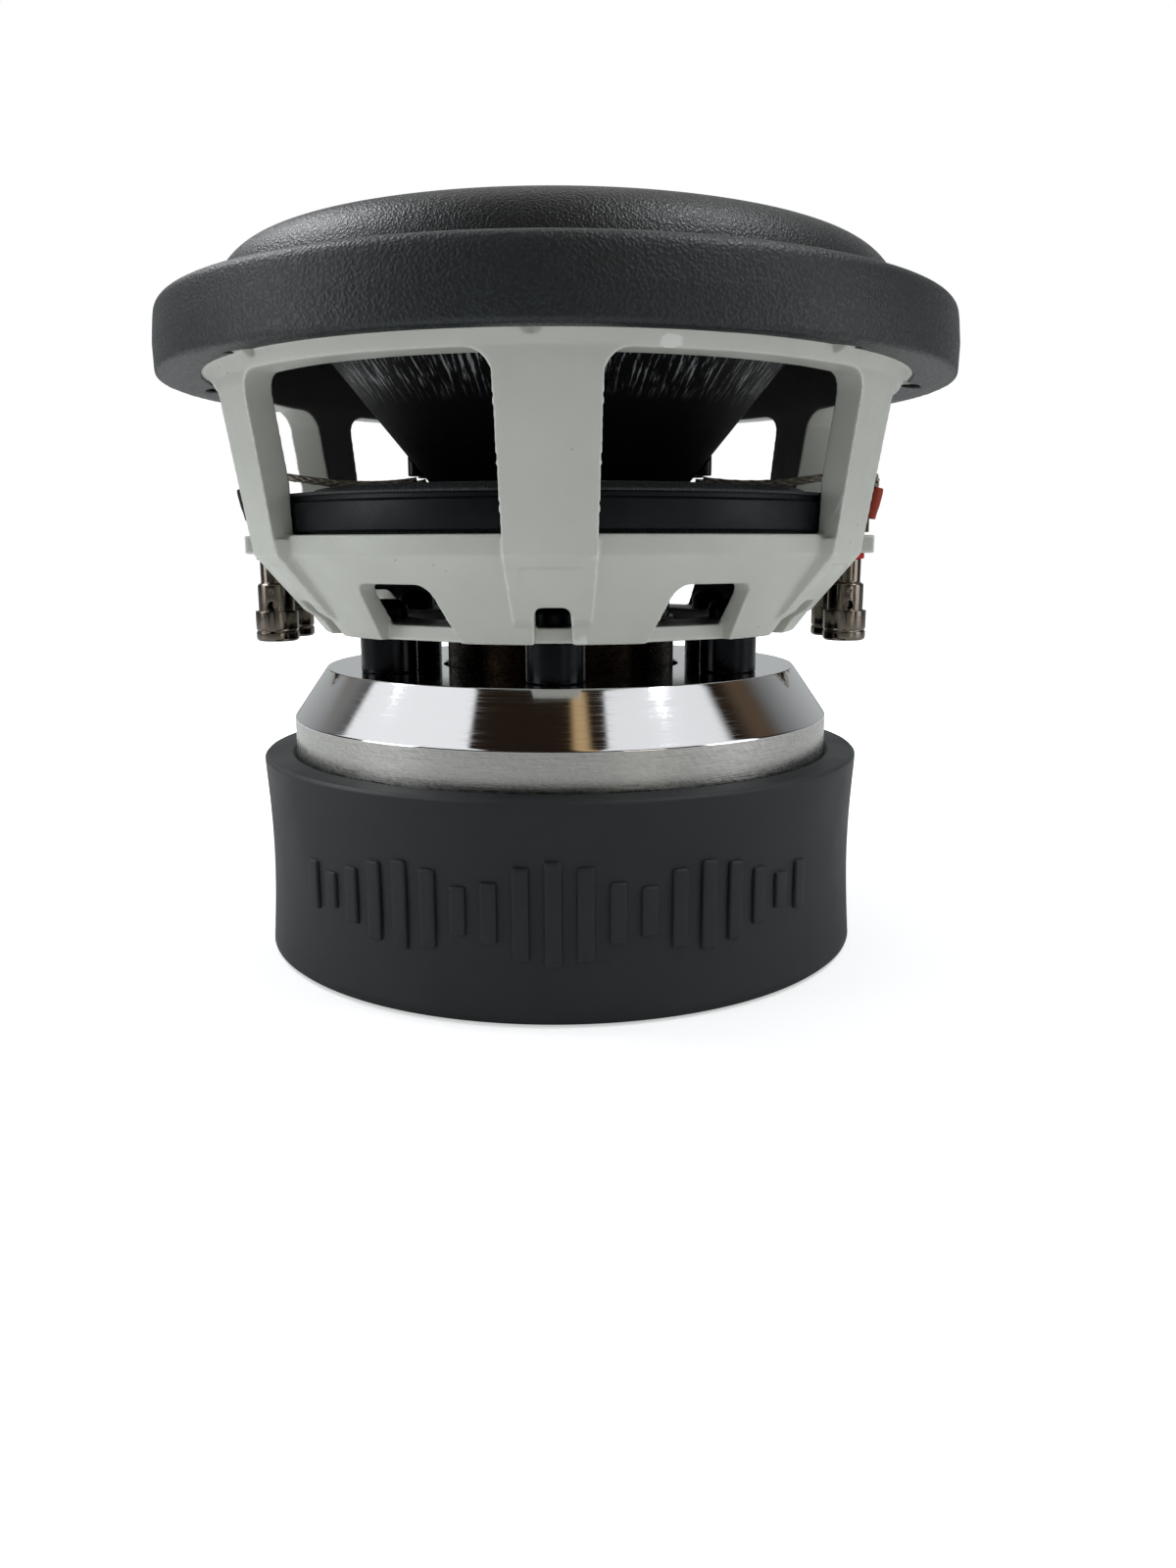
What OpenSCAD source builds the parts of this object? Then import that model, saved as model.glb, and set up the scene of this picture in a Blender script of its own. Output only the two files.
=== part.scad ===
// Car subwoofer driver, 8 inch class, with twin spiders, cast basket and rubber magnet boot.
// Origin: centre of the boot's underside. +Z runs along the speaker axis toward the cone.
// All sizes in millimetres.

/* [Overall] */
// Outside diameter of the rubber trim ring
ring_d = 216; // [190:1:250]
// Height of the trim ring's side
ring_h = 17.7; // [14:0.1:24]
// Height from the basket's underside to the mounting flange
basket_h = 66.6; // [58:0.1:80]
// Outside diameter of the rubber magnet boot
boot_d = 172; // [150:1:200]

/* [Mounting flange] */
// Number of mounting holes
bolt_count = 8; // [4:1:12]
// Diameter of the bolt circle
bolt_circle_d = 195; // [170:0.2:230]
// Diameter of each mounting hole
bolt_hole_d = 6.8; // [4:0.1:8]
// Turn of the bolt circle from the front spoke, in degrees
bolt_turn = -2; // [-22:0.5:22]
// Thickness of the flange
flange_t = 4.4; // [3:0.1:6]

/* [Basket] */
// Width of a spoke at the sill
spoke_w_low = 22; // [16:0.5:28]
// Width of a spoke at the top of the window
spoke_w_top = 24.8; // [18:0.5:32]
// Depth of a spoke along the radius
spoke_t = 8.6; // [6:0.1:12]
// Corner radius of the windows
window_r = 5; // [2:0.5:8]
// Height of the lower bowl, from the floor to the sill
bowl_h = 26; // [20:0.5:34]
// Radius of the basket's underside
floor_r = 67.5; // [60:0.5:72]
// Thickness of the basket's floor
floor_t = 3.8; // [3:0.1:7]

/* [Motor] */
// Diameter of the top plate
plate_d = 154; // [130:1:170]
// Thickness of the top plate
plate_t = 26.6; // [12:0.1:32]
// Height of the top plate's side below its chamfer
plate_side_h = 13; // [6:0.1:20]
// Radius of the top plate's flat top face
plate_face_r = 67.5; // [58:0.5:74]
// Thickness of each of the two magnets
magnet_t = 18; // [12:0.5:24]
// Thickness of the back plate
back_t = 12; // [8:0.5:16]
// Height of the six standoffs
post_h = 10.4; // [8:0.1:16]
// Diameter of the six standoffs
post_d = 15.2; // [12:0.2:18]

/* [Moving parts] */
// Outside diameter of the voice coil
coil_d = 66; // [50:0.5:76]
// Height of the winding
winding_h = 55; // [30:1:60]
// Crown radius of the surround's roll
roll_r = 81; // [74:0.5:88]
// Half width of the surround's roll
roll_w = 11.2; // [8:0.1:14]
// Height of the surround's roll
roll_h = 14.3; // [10:0.1:20]
// Thickness of the surround
surround_t = 1.8; // [1:0.1:3]
// Number of waves in each spider
spider_waves = 5; // [3:1:7]
// Height of one spider wave above its middle
spider_wave_h = 1.9; // [1:0.1:3]

/* [Terminals] */
// Distance of each terminal from the speaker's middle plane
term_x = 83; // [81:0.1:90]
// Place of the front terminal of a pair, along Y
term_near = -1; // [-6:0.5:2]
// Place of the rear terminal of a pair, along Y
term_far = 18.5; // [16:0.5:22]
// Diameter of a terminal's barrel
barrel_d = 10.2; // [9:0.1:12]
// Travel of a push cap
push_travel = 3.2; // [2:0.1:3.4]

/* [View] */
// Piece to draw, or all of them

/* [Hidden] */
$fn = 96;
eps = 0.02;
gap = 0.3;

// Heights, stacked from the boot's underside
boot_foot = 4;
z_back = boot_foot;
z_mag1 = z_back + back_t;
z_mag2 = z_mag1 + magnet_t;
z_plate = z_mag2 + magnet_t;
z_plate_top = z_plate + plate_t;
z_floor = z_plate_top + post_h;
z_sill = z_floor + bowl_h;
z_band = z_sill - 5;
z_flange = z_floor + basket_h;
z_seat = z_flange - 0.7;
z_lip = z_flange + 0.6;
z_window = z_flange - 2.7;
z_rim = z_flange + flange_t + 9.4;
z_sur = z_rim + 1.2;
z_ring = z_flange + ring_h - 0.4;
boot_h = z_plate + 3;

// Radii that follow from the trim ring
ring_r = ring_d / 2;
bolt_r = bolt_circle_d / 2;
flange_r = ring_r - 1.4;
rim_r = ring_r - 6.4;
rim_in_r = ring_r - 19;
lip_r = roll_r + roll_w + 1.1;
shell_r_top = ring_r - 14.2;
lip_in_r = shell_r_top + 1.9;
shell_r_low = shell_r_top - 7.2;
sill_r = shell_r_low - 3.6;
ledge_in_r = sill_r - 8.4;
boot_r = boot_d / 2;
plate_r = plate_d / 2;
magnet_r = plate_r + 3;

// Voice coil and gap
coil_r = coil_d / 2;
winding_in_r = coil_r - 1.2;
former_in_r = winding_in_r - 0.4;
sleeve_r = former_in_r - 0.6;
pole_r = sleeve_r - 0.6;
vent_r = 12;
z_pole = z_plate_top + 1.4;
plate_bore_r = coil_r + 1.4;
post_c_r = coil_r + 20.3;
bolt_shaft_r = 3;
z_wind = z_plate + plate_t / 2 - winding_h / 2;
z_former = z_wind - 4;
collar_r = coil_r + 0.2;
z_spider1 = z_sill;
spider_t = 0.7;
spacer_h = 8.8;
z_spider2 = z_sill + spider_t + spacer_h;
spider_r = sill_r - 3;
shell_in_r = spider_r + 0.6;
z_neck = z_spider2 + spider_t + 0.1;
z_former_top = z_neck + 4;
cone_edge_r = roll_r - roll_w + 0.4;
z_cone_edge = z_sur + 1.6;
cone_t = 1.3;

// Terminals
washer_r = 4.9;
z_washer = z_band - 1.7;
z_barrel_top = z_washer - 6.8;
z_barrel = z_barrel_top - 9.6;
z_cap = z_barrel - 6.9;
cap_r = 6.1;
cap_bore_r = barrel_d / 2 + gap;
stem_r = 2.8;
stud_r = 2.2;
z_nut = z_sill + 1.2;
z_stud = z_nut + 5;
z_stem = z_barrel + 9.6;
z_spring_top = z_washer - 1.2;
wire_hole_z = 3.4;
wire_hole_r = 1.25;
sleeve_lean = 12;
spider_flat = min(spider_r, term_x - washer_r + 0.1);
lug_x = term_x + 5.6;
z_lug = z_nut + 12.4;
lead_pad_r = 41;

function arc(cx, cy, r, a0, a1, n) =
    [for (i = [0 : n]) [cx + r * cos(a0 + (a1 - a0) * i / n), cy + r * sin(a0 + (a1 - a0) * i / n)]];
function bowl_r(h) = floor_r + (sill_r - floor_r) * h / (z_band - z_floor);
function shell_r(z) = shell_r_low + (shell_r_top - shell_r_low) * (z - z_band) / (z_flange - z_band);
function spoke_half(z) =
    (spoke_w_low + (spoke_w_top - spoke_w_low) * (z - z_sill) / (z_window - z_sill)) / 2;
function window_half(z) = shell_r(z) * sin(30 - asin(spoke_half(z) / shell_r(z)));
function boot_wall(z) = boot_r - 1.3 * sin(180 * z / boot_h);
function wave(r, r0, r1) = spider_wave_h * sin(360 * spider_waves * (r - r0) / (r1 - r0));
function at_bolt(i) = 360 * i / bolt_count + bolt_turn - 90;

// A tapered window outline, rounded at its two top corners
module window_outline(w0, w1, z0, z1, r) {
    lean = atan((w1 - w0) / (z1 - z0));
    polygon(concat(
        [[-w0, z0], [w0, z0]],
        arc(w1 - r - r * tan(lean) * 0.5, z1 - r, r, -lean, 90, 5),
        arc(-w1 + r + r * tan(lean) * 0.5, z1 - r, r, 90, 180 + lean, 5)));
}

// Cuts an outline drawn in X and Z from radius r0 to r1, facing the front
module radial_cut(r0, r1) {
    translate([0, -r0, 0])
        rotate([90, 0, 0])
            linear_extrude(r1 - r0)
                children();
}

module basket_bowl() {
    rotate_extrude()
        polygon([
            [post_c_r - 9.4, z_floor], [floor_r, z_floor], [sill_r, z_band], [sill_r, z_sill],
            [ledge_in_r, z_sill], [ledge_in_r, z_sill - 3], [sill_r - 3.3, z_sill - 3],
            [floor_r - 4.8, z_floor + floor_t], [post_c_r - 9.4, z_floor + floor_t]]);
}

module basket_shell() {
    rotate_extrude()
        polygon([
            [shell_in_r, z_band], [shell_r_low, z_band],
            [shell_r(z_flange - 2.4), z_flange - 2.4], [shell_r_top + 0.5, z_flange - 0.7],
            [shell_r_top + 1.5, z_lip + 0.4], [flange_r, z_lip + 0.4],
            [flange_r, z_flange + flange_t], [rim_r, z_flange + flange_t], [rim_r, z_rim],
            [rim_in_r, z_rim], [shell_r_top - spoke_t, z_flange], [shell_in_r, z_spider2 + 3]]);
}

// A raised rib that carries a spoke down over the bowl
module spoke_rib() {
    intersection() {
        rotate_extrude()
            polygon([
                [bowl_r(4) - 2.6, z_floor + 4], [bowl_r(4) - 0.2, z_floor + 4],
                [bowl_r(6) + 2.2, z_floor + 6.4], [shell_r_low, z_band + eps], [shell_r_low, z_sill - 1],
                [sill_r - 2, z_sill - 1], [sill_r - 2, z_band]]);
        radial_cut(floor_r - 20, ring_r)
            polygon([[-8.8, z_floor - 1], [8.8, z_floor - 1],
                [spoke_w_low / 2 - 0.25, z_band], [spoke_w_low / 2, z_sill],
                [-spoke_w_low / 2, z_sill], [-spoke_w_low / 2 + 0.25, z_band]]);
    }
}

// Recess down the middle of a rib, and the arched notch at its foot
module rib_cuts() {
    intersection() {
        rotate_extrude()
            polygon([
                [floor_r + 1.5, z_floor - 1], [floor_r + 9, z_floor - 1],
                [shell_r_low + 4, z_band - 2.5], [shell_r_low - 2.7, z_band - 2.5]]);
        radial_cut(floor_r - 20, ring_r)
            polygon([[-6.2, z_floor - 2], [6.2, z_floor - 2],
                [7, z_band - 2.5], [-7, z_band - 2.5]]);
    }
    radial_cut(floor_r - 4, ring_r)
        window_outline(4.6, 4.2, z_floor - 1, z_floor + 9.3, 1.8);
    radial_cut(floor_r - 14, ring_r)
        window_outline(4.4, 4.2, z_floor + floor_t, z_floor + 9.3, 1.8);
}

module bowl_window() {
    radial_cut(floor_r - 4, ring_r)
        window_outline(12.3, 10.8, z_floor - 1, z_floor + 14.4, 3.4);
    radial_cut(floor_r - 16, ring_r)
        window_outline(11.7, 10.8, z_floor + floor_t, z_floor + 14.4, 3.4);
}

// Flat tab on the sill that holds one pair of terminals
module terminal_tab(side) {
    intersection() {
        translate([side > 0 ? sill_r - 6 : -sill_r - 6.2, term_near - 10, z_band])
            cube([12.2, term_far - term_near + 20, z_sill - z_band]);
        rotate_extrude()
            translate([sill_r - 3.5, z_band])
                square([9.7, z_sill - z_band]);
    }
}

module basket() {
    color([0.74, 0.74, 0.72])
        difference() {
            union() {
                basket_bowl();
                difference() {
                    basket_shell();
                    for (i = [0 : 5])
                        rotate(30 + 60 * i)
                            radial_cut(sill_r - 16, ring_r)
                                window_outline(window_half(z_band), window_half(z_window),
                                    z_band - 1, z_window, window_r);
                }
                for (i = [0 : 5])
                    rotate(60 * i)
                        spoke_rib();
                for (s = [-1, 1])
                    terminal_tab(s);
            }
            for (i = [0 : 5])
                rotate(60 * i)
                    rib_cuts();
            for (i = [0 : 5])
                rotate(30 + 60 * i)
                    bowl_window();
            for (i = [0 : bolt_count - 1])
                rotate(at_bolt(i))
                    translate([bolt_r, 0, z_flange - 0.4])
                        cylinder(h = 40, d = bolt_hole_d);
            for (i = [0 : 5])
                rotate(60 * i)
                    translate([0, -post_c_r, z_floor - 1])
                        cylinder(h = floor_t + 2, r = bolt_shaft_r + gap);
            for (s = [-1, 1])
                for (y = [term_near, term_far])
                    translate([s * term_x, y, 0]) {
                        translate([0, 0, z_band - 9])
                            cylinder(h = 9, r = washer_r + gap);
                        translate([0, 0, z_band - 1])
                            cylinder(h = 8, r = stud_r + gap);
                    }
        }
}

module trim_ring() {
    color([0.13, 0.14, 0.15])
        difference() {
            rotate_extrude()
                polygon(concat(
                    [[flange_r, z_lip + 0.4], [lip_in_r, z_lip + 0.4], [lip_in_r, z_lip],
                        [ring_r - 4.6, z_seat], [ring_r - 0.6, z_seat],
                        [ring_r - 0.15, z_seat + 0.7], [ring_r, z_flange + ring_h * 0.4],
                        [ring_r - 0.5, z_flange + ring_h * 0.72]],
                    arc(ring_r - 4.1, z_ring - 3.4, 3.4, 8, 90, 6),
                    [[lip_r + 1.2, z_ring], [lip_r, z_ring - 0.8], [lip_r, z_sur],
                        [rim_r, z_sur], [rim_r, z_flange + flange_t],
                        [flange_r, z_flange + flange_t]]));
            for (i = [0 : bolt_count - 1])
                rotate(at_bolt(i))
                    translate([bolt_r, 0, z_flange - 5])
                        cylinder(h = 40, d = bolt_hole_d);
        }
}

// Half roll from the inner glue lip to the clamped outer edge
module surround() {
    mid = (z_sur + z_cone_edge) / 2;
    tilt = (z_cone_edge - z_sur) / 2;
    color([0.11, 0.12, 0.12])
        difference() {
            rotate_extrude()
                polygon(concat(
                    [[rim_r - 0.3, z_rim], [rim_r - 0.3, z_sur]],
                    [for (a = [0 : 7.5 : 180])
                        [roll_r + (roll_w + surround_t / 2) * cos(a),
                            mid - tilt * cos(a) + (roll_h + surround_t / 2) * sin(a)]],
                    [[roll_r - roll_w - 4.4, z_cone_edge],
                        [roll_r - roll_w - 4.4, z_cone_edge - 1]],
                    [for (a = [180 : -7.5 : 0])
                        [roll_r + (roll_w - surround_t / 2) * cos(a),
                            mid - tilt * cos(a) + (roll_h - surround_t / 2) * sin(a)
                            - (a > 90 ? 1 : 1.2) * (a == 0 || a == 180 ? 1 : 0)]]));
            for (i = [0 : bolt_count - 1])
                rotate(at_bolt(i))
                    translate([bolt_r, 0, z_rim - 5])
                        cylinder(h = 20, d = bolt_hole_d);
        }
}

// Cuts a flat on each side, clear of the terminal nuts
module side_flats(z) {
    difference() {
        children();
        for (s = [-1, 1])
            translate([s > 0 ? spider_flat : -spider_flat - 12, -40, z - 4])
                cube([12, 80, 20]);
    }
}

module spider_ring(z) {
    steps = spider_waves * 8;
    r0 = collar_r + 4;
    r1 = spider_r - 6;
    pts = [for (i = [0 : steps]) let (r = r0 + (r1 - r0) * i / steps) [r, z + wave(r, r0, r1)]];
    rotate_extrude()
        polygon(concat(
            [[collar_r, z]], pts, [[spider_r, z], [spider_r, z + spider_t]],
            [for (i = [steps : -1 : 0]) pts[i] + [0, spider_t]],
            [[collar_r, z + spider_t]]));
}

module spider_lower() {
    color([0.82, 0.68, 0.42])
        side_flats(z_spider1)
            spider_ring(z_spider1);
}

module spider_upper() {
    color([0.82, 0.68, 0.42])
        spider_ring(z_spider2);
}

module spider_spacer() {
    color([0.07, 0.09, 0.1])
        side_flats(z_spider1)
            rotate_extrude()
                polygon([
                    [spider_r - 4.6, z_spider1 + spider_t], [spider_r, z_spider1 + spider_t],
                    [spider_r + 0.3, z_spider1 + spider_t + 0.4],
                    [spider_r + 0.3, z_spider2 - 1.8], [spider_r - 0.5, z_spider2 - 1.2],
                    [spider_r - 0.5, z_spider2], [spider_r - 4.6, z_spider2]]);
}

module standoffs() {
    color([0.05, 0.06, 0.07])
        for (i = [0 : 5])
            rotate(60 * i)
                translate([0, -post_c_r, z_plate_top])
                    rotate_extrude()
                        polygon([
                            [bolt_shaft_r + gap, 0], [post_d / 2 - 0.5, 0], [post_d / 2, 0.5],
                            [post_d / 2, post_h - 0.5], [post_d / 2 - 0.5, post_h],
                            [bolt_shaft_r + gap, post_h]]);
}

module motor_bolts() {
    color([0.1, 0.1, 0.11])
        for (i = [0 : 5])
            rotate(60 * i)
                translate([0, -post_c_r, 0])
                    difference() {
                        rotate_extrude()
                            polygon([
                                [0, z_plate_top - 12], [bolt_shaft_r - 0.6, z_plate_top - 12],
                                [bolt_shaft_r, z_plate_top - 11.4], [bolt_shaft_r, z_floor + floor_t],
                                [5.4, z_floor + floor_t], [5.4, z_floor + floor_t + 3.2],
                                [4.6, z_floor + floor_t + 4.6], [3, z_floor + floor_t + 5.4],
                                [0, z_floor + floor_t + 5.4]]);
                        translate([0, 0, z_floor + floor_t + 2.6])
                            cylinder(h = 6, r = 2.3, $fn = 6);
                    }
}

module top_plate() {
    color([0.8, 0.8, 0.82])
        difference() {
            rotate_extrude()
                polygon([
                    [plate_bore_r, z_plate], [plate_r - 0.6, z_plate], [plate_r, z_plate + 0.6],
                    [plate_r, z_plate + plate_side_h], [plate_face_r + 0.5, z_plate_top - 0.7],
                    [plate_face_r, z_plate_top], [plate_bore_r + 0.6, z_plate_top],
                    [plate_bore_r, z_plate_top - 0.6]]);
            for (i = [0 : 5])
                rotate(60 * i)
                    translate([0, -post_c_r, z_plate_top - 14])
                        cylinder(h = 20, r = bolt_shaft_r);
        }
}

module magnet_ring(z) {
    rotate_extrude()
        polygon([
            [coil_r + 7, z + 0.8], [coil_r + 7.8, z], [magnet_r - 1, z], [magnet_r, z + 1],
            [magnet_r, z + magnet_t - 1], [magnet_r - 1, z + magnet_t],
            [coil_r + 7.8, z + magnet_t], [coil_r + 7, z + magnet_t - 0.8]]);
}

module magnet_upper() {
    color([0.2, 0.2, 0.21])
        magnet_ring(z_mag2);
}

module magnet_lower() {
    color([0.18, 0.18, 0.19])
        magnet_ring(z_mag1);
}

module back_plate() {
    color([0.16, 0.16, 0.17])
        rotate_extrude()
            polygon([
                [vent_r + 4, z_back], [plate_r - 1, z_back], [plate_r, z_back + 1],
                [plate_r, z_back + back_t], [pole_r + 4, z_back + back_t],
                [pole_r, z_back + back_t + 4], [pole_r, z_pole - 1.2], [pole_r - 1.2, z_pole],
                [vent_r + 3, z_pole], [vent_r, z_pole - 3], [vent_r, z_back + 6]]);
}

module pole_sleeve() {
    color([0.72, 0.42, 0.26])
        rotate_extrude()
            translate([pole_r, z_plate - 2])
                square([sleeve_r - pole_r, plate_t + 1.6]);
}

// Perforated disc that keeps grit out of the pole vent
module vent_screen() {
    color([0.3, 0.3, 0.31])
        difference() {
            translate([0, 0, z_back + 7.2])
                cylinder(h = 0.8, r = vent_r);
            for (x = [-3 : 3])
                for (y = [-3 : 3])
                    if (norm([x + (abs(y) % 2) / 2, y * 0.87]) < 3.4)
                        translate([(x + (abs(y) % 2) / 2) * 3, y * 2.6, z_back + 6])
                            cylinder(h = 4, r = 1, $fn = 6);
        }
}

// Raised level bars that decorate the boot's front
module level_bars() {
    count = 19;
    pitch = 5.2;
    for (i = [0 : count - 1]) {
        k = i - (count - 1) / 2;
        h = 9 + 17 * abs(cos(k * 34)) * cos(k * 7.5);
        rotate(k * pitch)
            translate([-2.1, -boot_r - 2, boot_h * 0.5 - h / 2])
                cube([4.2, 8, h]);
    }
}

module boot() {
    steps = 14;
    wall = [for (i = [0 : steps])
        let (z = 1 + (boot_h - 4) * i / steps) [boot_wall(z), z]];
    color([0.14, 0.15, 0.16])
        union() {
            rotate_extrude()
                polygon(concat(
                    [[boot_r - 26, 0], [boot_r - 1.2, 0]], wall,
                    [[boot_r - 0.5, boot_h - 1.6], [boot_r - 1.8, boot_h - 0.4],
                        [boot_r - 3.4, boot_h], [plate_r + 1.6, boot_h],
                        [plate_r, boot_h - 1.2], [plate_r, z_plate], [magnet_r, z_plate],
                        [magnet_r, z_mag1], [plate_r, z_mag1], [plate_r, z_back + 1],
                        [plate_r - 1, z_back], [boot_r - 26, z_back]]));
            intersection() {
                rotate_extrude()
                    polygon(concat(
                        [[boot_r - 3.4, 1]],
                        [for (p = wall) p + [0.9, 0]],
                        [[boot_r - 3.4, boot_h - 3]]));
                level_bars();
            }
        }
}

// One of each terminal's parts, placed on every stud
module each_terminal(sides, ys) {
    for (i = [0 : len(sides) - 1])
        translate([sides[i] * term_x, ys[i], 0])
            children();
}

module terminal_bodies() {
    color([0.42, 0.4, 0.38])
        each_terminal([-1, -1, 1, 1], [term_near, term_far, term_near, term_far])
            difference() {
                rotate_extrude()
                    polygon([
                        [stem_r + gap, z_barrel], [barrel_d / 2, z_barrel],
                        [barrel_d / 2, z_barrel_top - 0.5], [barrel_d / 2 - 0.5, z_barrel_top],
                        [4.1, z_barrel_top + 0.2], [4.1, z_washer], [stud_r, z_washer],
                        [stud_r, z_stud], [0, z_stud], [0, z_spring_top],
                        [stem_r + gap, z_spring_top]]);
                translate([0, -8, z_barrel + wire_hole_z])
                    rotate([-90, 0, 0])
                        cylinder(h = 16, r = wire_hole_r);
            }
}

module insulating_washer() {
    rotate_extrude()
        polygon([
            [stud_r, z_washer], [washer_r, z_washer], [washer_r, z_band], [stud_r, z_band]]);
}

module washers_red() {
    color([0.75, 0.1, 0.07])
        each_terminal([-1, 1], [term_far, term_near])
            insulating_washer();
}

module washers_black() {
    color([0.06, 0.06, 0.06])
        each_terminal([-1, 1], [term_near, term_far])
            insulating_washer();
}

module upper_washers() {
    color([0.12, 0.12, 0.12])
        each_terminal([-1, -1, 1, 1], [term_near, term_far, term_near, term_far])
            rotate_extrude()
                polygon([
                    [stud_r, z_band + 0.2], [stud_r + gap, z_band + 0.2],
                    [stud_r + gap, z_sill], [washer_r - 0.4, z_sill],
                    [washer_r - 0.4, z_sill + 0.8], [stud_r, z_sill + 0.8]]);
}

module terminal_nuts() {
    color([0.7, 0.68, 0.6])
        each_terminal([-1, -1, 1, 1], [term_near, term_far, term_near, term_far])
            translate([0, 0, z_nut])
                difference() {
                    cylinder(h = 3.2, r = 4, $fn = 6);
                    translate([0, 0, -1])
                        cylinder(h = 6, r = stud_r);
                }
}

// Tag under the nut, bent up and outward to take a lead
module solder_lugs() {
    color([0.75, 0.72, 0.62])
        for (s = [-1, 1])
            for (y = [term_near, term_far])
                translate([0, y, 0])
                    difference() {
                        union() {
                            translate([s * term_x, 0, z_sill + 0.8])
                                cylinder(h = 0.4, r = 3.6);
                            translate([s > 0 ? term_x : -lug_x, -1.8, z_sill + 0.8])
                                cube([lug_x - term_x, 3.6, 0.4]);
                            translate([s > 0 ? lug_x - 0.4 : -lug_x, -1.8, z_sill + 0.8])
                                cube([0.4, 3.6, 6]);
                        }
                        translate([s * term_x, 0, z_sill])
                            cylinder(h = 3, r = stud_r);
                    }
}

// Heat-shrink sleeve round a lug and the end of its lead
module shrink_sleeve(s) {
    translate([s * (lug_x - 0.2), 0, z_nut + 3.6])
        rotate([0, s * sleeve_lean, 0])
            difference() {
                cylinder(h = z_lug - z_nut - 3.6, r = 2.6);
                translate([0, 0, -1])
                    cylinder(h = z_lug, r = 1.9);
            }
}

module sleeves_red() {
    color([0.78, 0.16, 0.1])
        for (s = [-1, 1])
            translate([0, s > 0 ? term_near : term_far, 0])
                shrink_sleeve(s);
}

module sleeves_black() {
    color([0.06, 0.06, 0.06])
        for (s = [-1, 1])
            translate([0, s > 0 ? term_far : term_near, 0])
                shrink_sleeve(s);
}

// Spring-loaded cap with the drilled stem that grips the wire
module push_cap(x, y) {
    color([0.36, 0.35, 0.34])
        translate([x, y, 0])
            difference() {
                rotate_extrude()
                    polygon([
                        [0, z_cap], [cap_r - 0.6, z_cap], [cap_r, z_cap + 0.6],
                        [cap_r, z_cap + 2.6], [cap_r - 0.25, z_cap + 2.8],
                        [cap_r - 0.25, z_cap + 3.2], [cap_r, z_cap + 3.4],
                        [cap_r, z_cap + 8.7], [cap_bore_r, z_cap + 8.7],
                        [cap_bore_r, z_cap + 3], [stem_r, z_cap + 3], [stem_r, z_stem],
                        [0, z_stem]]);
                translate([0, -4, z_barrel + wire_hole_z - push_travel])
                    rotate([-90, 0, 0])
                        cylinder(h = 8, r = wire_hole_r);
                translate([-wire_hole_r, cap_r - 2, z_cap + 8.7 - push_travel])
                    cube([2 * wire_hole_r, 3, 4]);
            }
}

module cap_ln() {
    push_cap(-term_x, term_near);
}

module cap_lf() {
    push_cap(-term_x, term_far);
}

module cap_rn() {
    push_cap(term_x, term_near);
}

module cap_rf() {
    push_cap(term_x, term_far);
}

module push_spring(x, y) {
    h = z_spring_top - z_stem - 0.7;
    turns = 4;
    n = turns * 8;
    color([0.75, 0.75, 0.78])
        for (i = [0 : n - 1])
            hull()
                for (k = [i, i + 1])
                    translate([x + 2.1 * cos(45 * k), y + 2.1 * sin(45 * k),
                        z_stem + 0.35 + h * k / n])
                        sphere(r = 0.3, $fn = 6);
}

module spring_ln() {
    push_spring(-term_x, term_near);
}

module spring_lf() {
    push_spring(-term_x, term_far);
}

module spring_rn() {
    push_spring(term_x, term_near);
}

module spring_rf() {
    push_spring(term_x, term_far);
}

function cone_z(r) = z_neck
    + (z_cone_edge - 3.4 - z_neck) * (r - coil_r - 0.5) / (cone_edge_r - coil_r - 1.7);

// Braided lead, from its lug over the spider to the back of the cone
function lead_pad(s, y) = let (a = asin(y / lead_pad_r * 0.55))
    [s * lead_pad_r * cos(a), lead_pad_r * sin(a), cone_z(lead_pad_r) - 2.4];
function lean_x(z) = lug_x - 0.2 + (z - z_nut - 3.6) * tan(sleeve_lean);
function lead_point(s, y, t) =
    let (a = [s * lean_x(z_lug + 0.5), y, z_lug + 0.5], d = lead_pad(s, y) - [0, 0, 1.6])
    let (b = a + [s * 9 * tan(sleeve_lean), 0, 9], c = d + [s * 29, 0, -4.5])
    pow(1 - t, 3) * a + 3 * pow(1 - t, 2) * t * b + 3 * (1 - t) * t * t * c + t * t * t * d;

module lead(s, y) {
    n = 11;
    path = concat(
        [[s * lean_x(z_sill + 8.2), y, z_sill + 8.2]],
        [for (i = [0 : n]) lead_point(s, y, i / n)]);
    color([0.72, 0.68, 0.6])
        for (i = [0 : n])
            hull()
                for (k = [i, i + 1])
                    translate(path[k])
                        sphere(r = 1.1, $fn = 8);
}

module lead_ln() {
    lead(-1, term_near);
}

module lead_lf() {
    lead(-1, term_far);
}

module lead_rn() {
    lead(1, term_near);
}

module lead_rf() {
    lead(1, term_far);
}

// Height of the cone's inner face at radius r
function cone_in_z(r) = z_neck + 2.4
    + (z_cone_edge - 4.6 - z_neck) * (r - coil_r - 0.5) / (cone_edge_r - 5.7 - coil_r);

module cone() {
    color([0.05, 0.05, 0.06])
        rotate_extrude()
            polygon([
                [winding_in_r, z_neck], [coil_r + 0.5, z_neck],
                [cone_edge_r - 1.2, z_cone_edge - 3.4], [cone_edge_r - 0.2, z_cone_edge - 1],
                [cone_edge_r - 4.8, z_cone_edge - 1], [cone_edge_r - 5.2, z_cone_edge - 2.2],
                [coil_r + 0.5, z_neck + 2.4], [winding_in_r, z_neck + 2.4]]);
}

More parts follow.
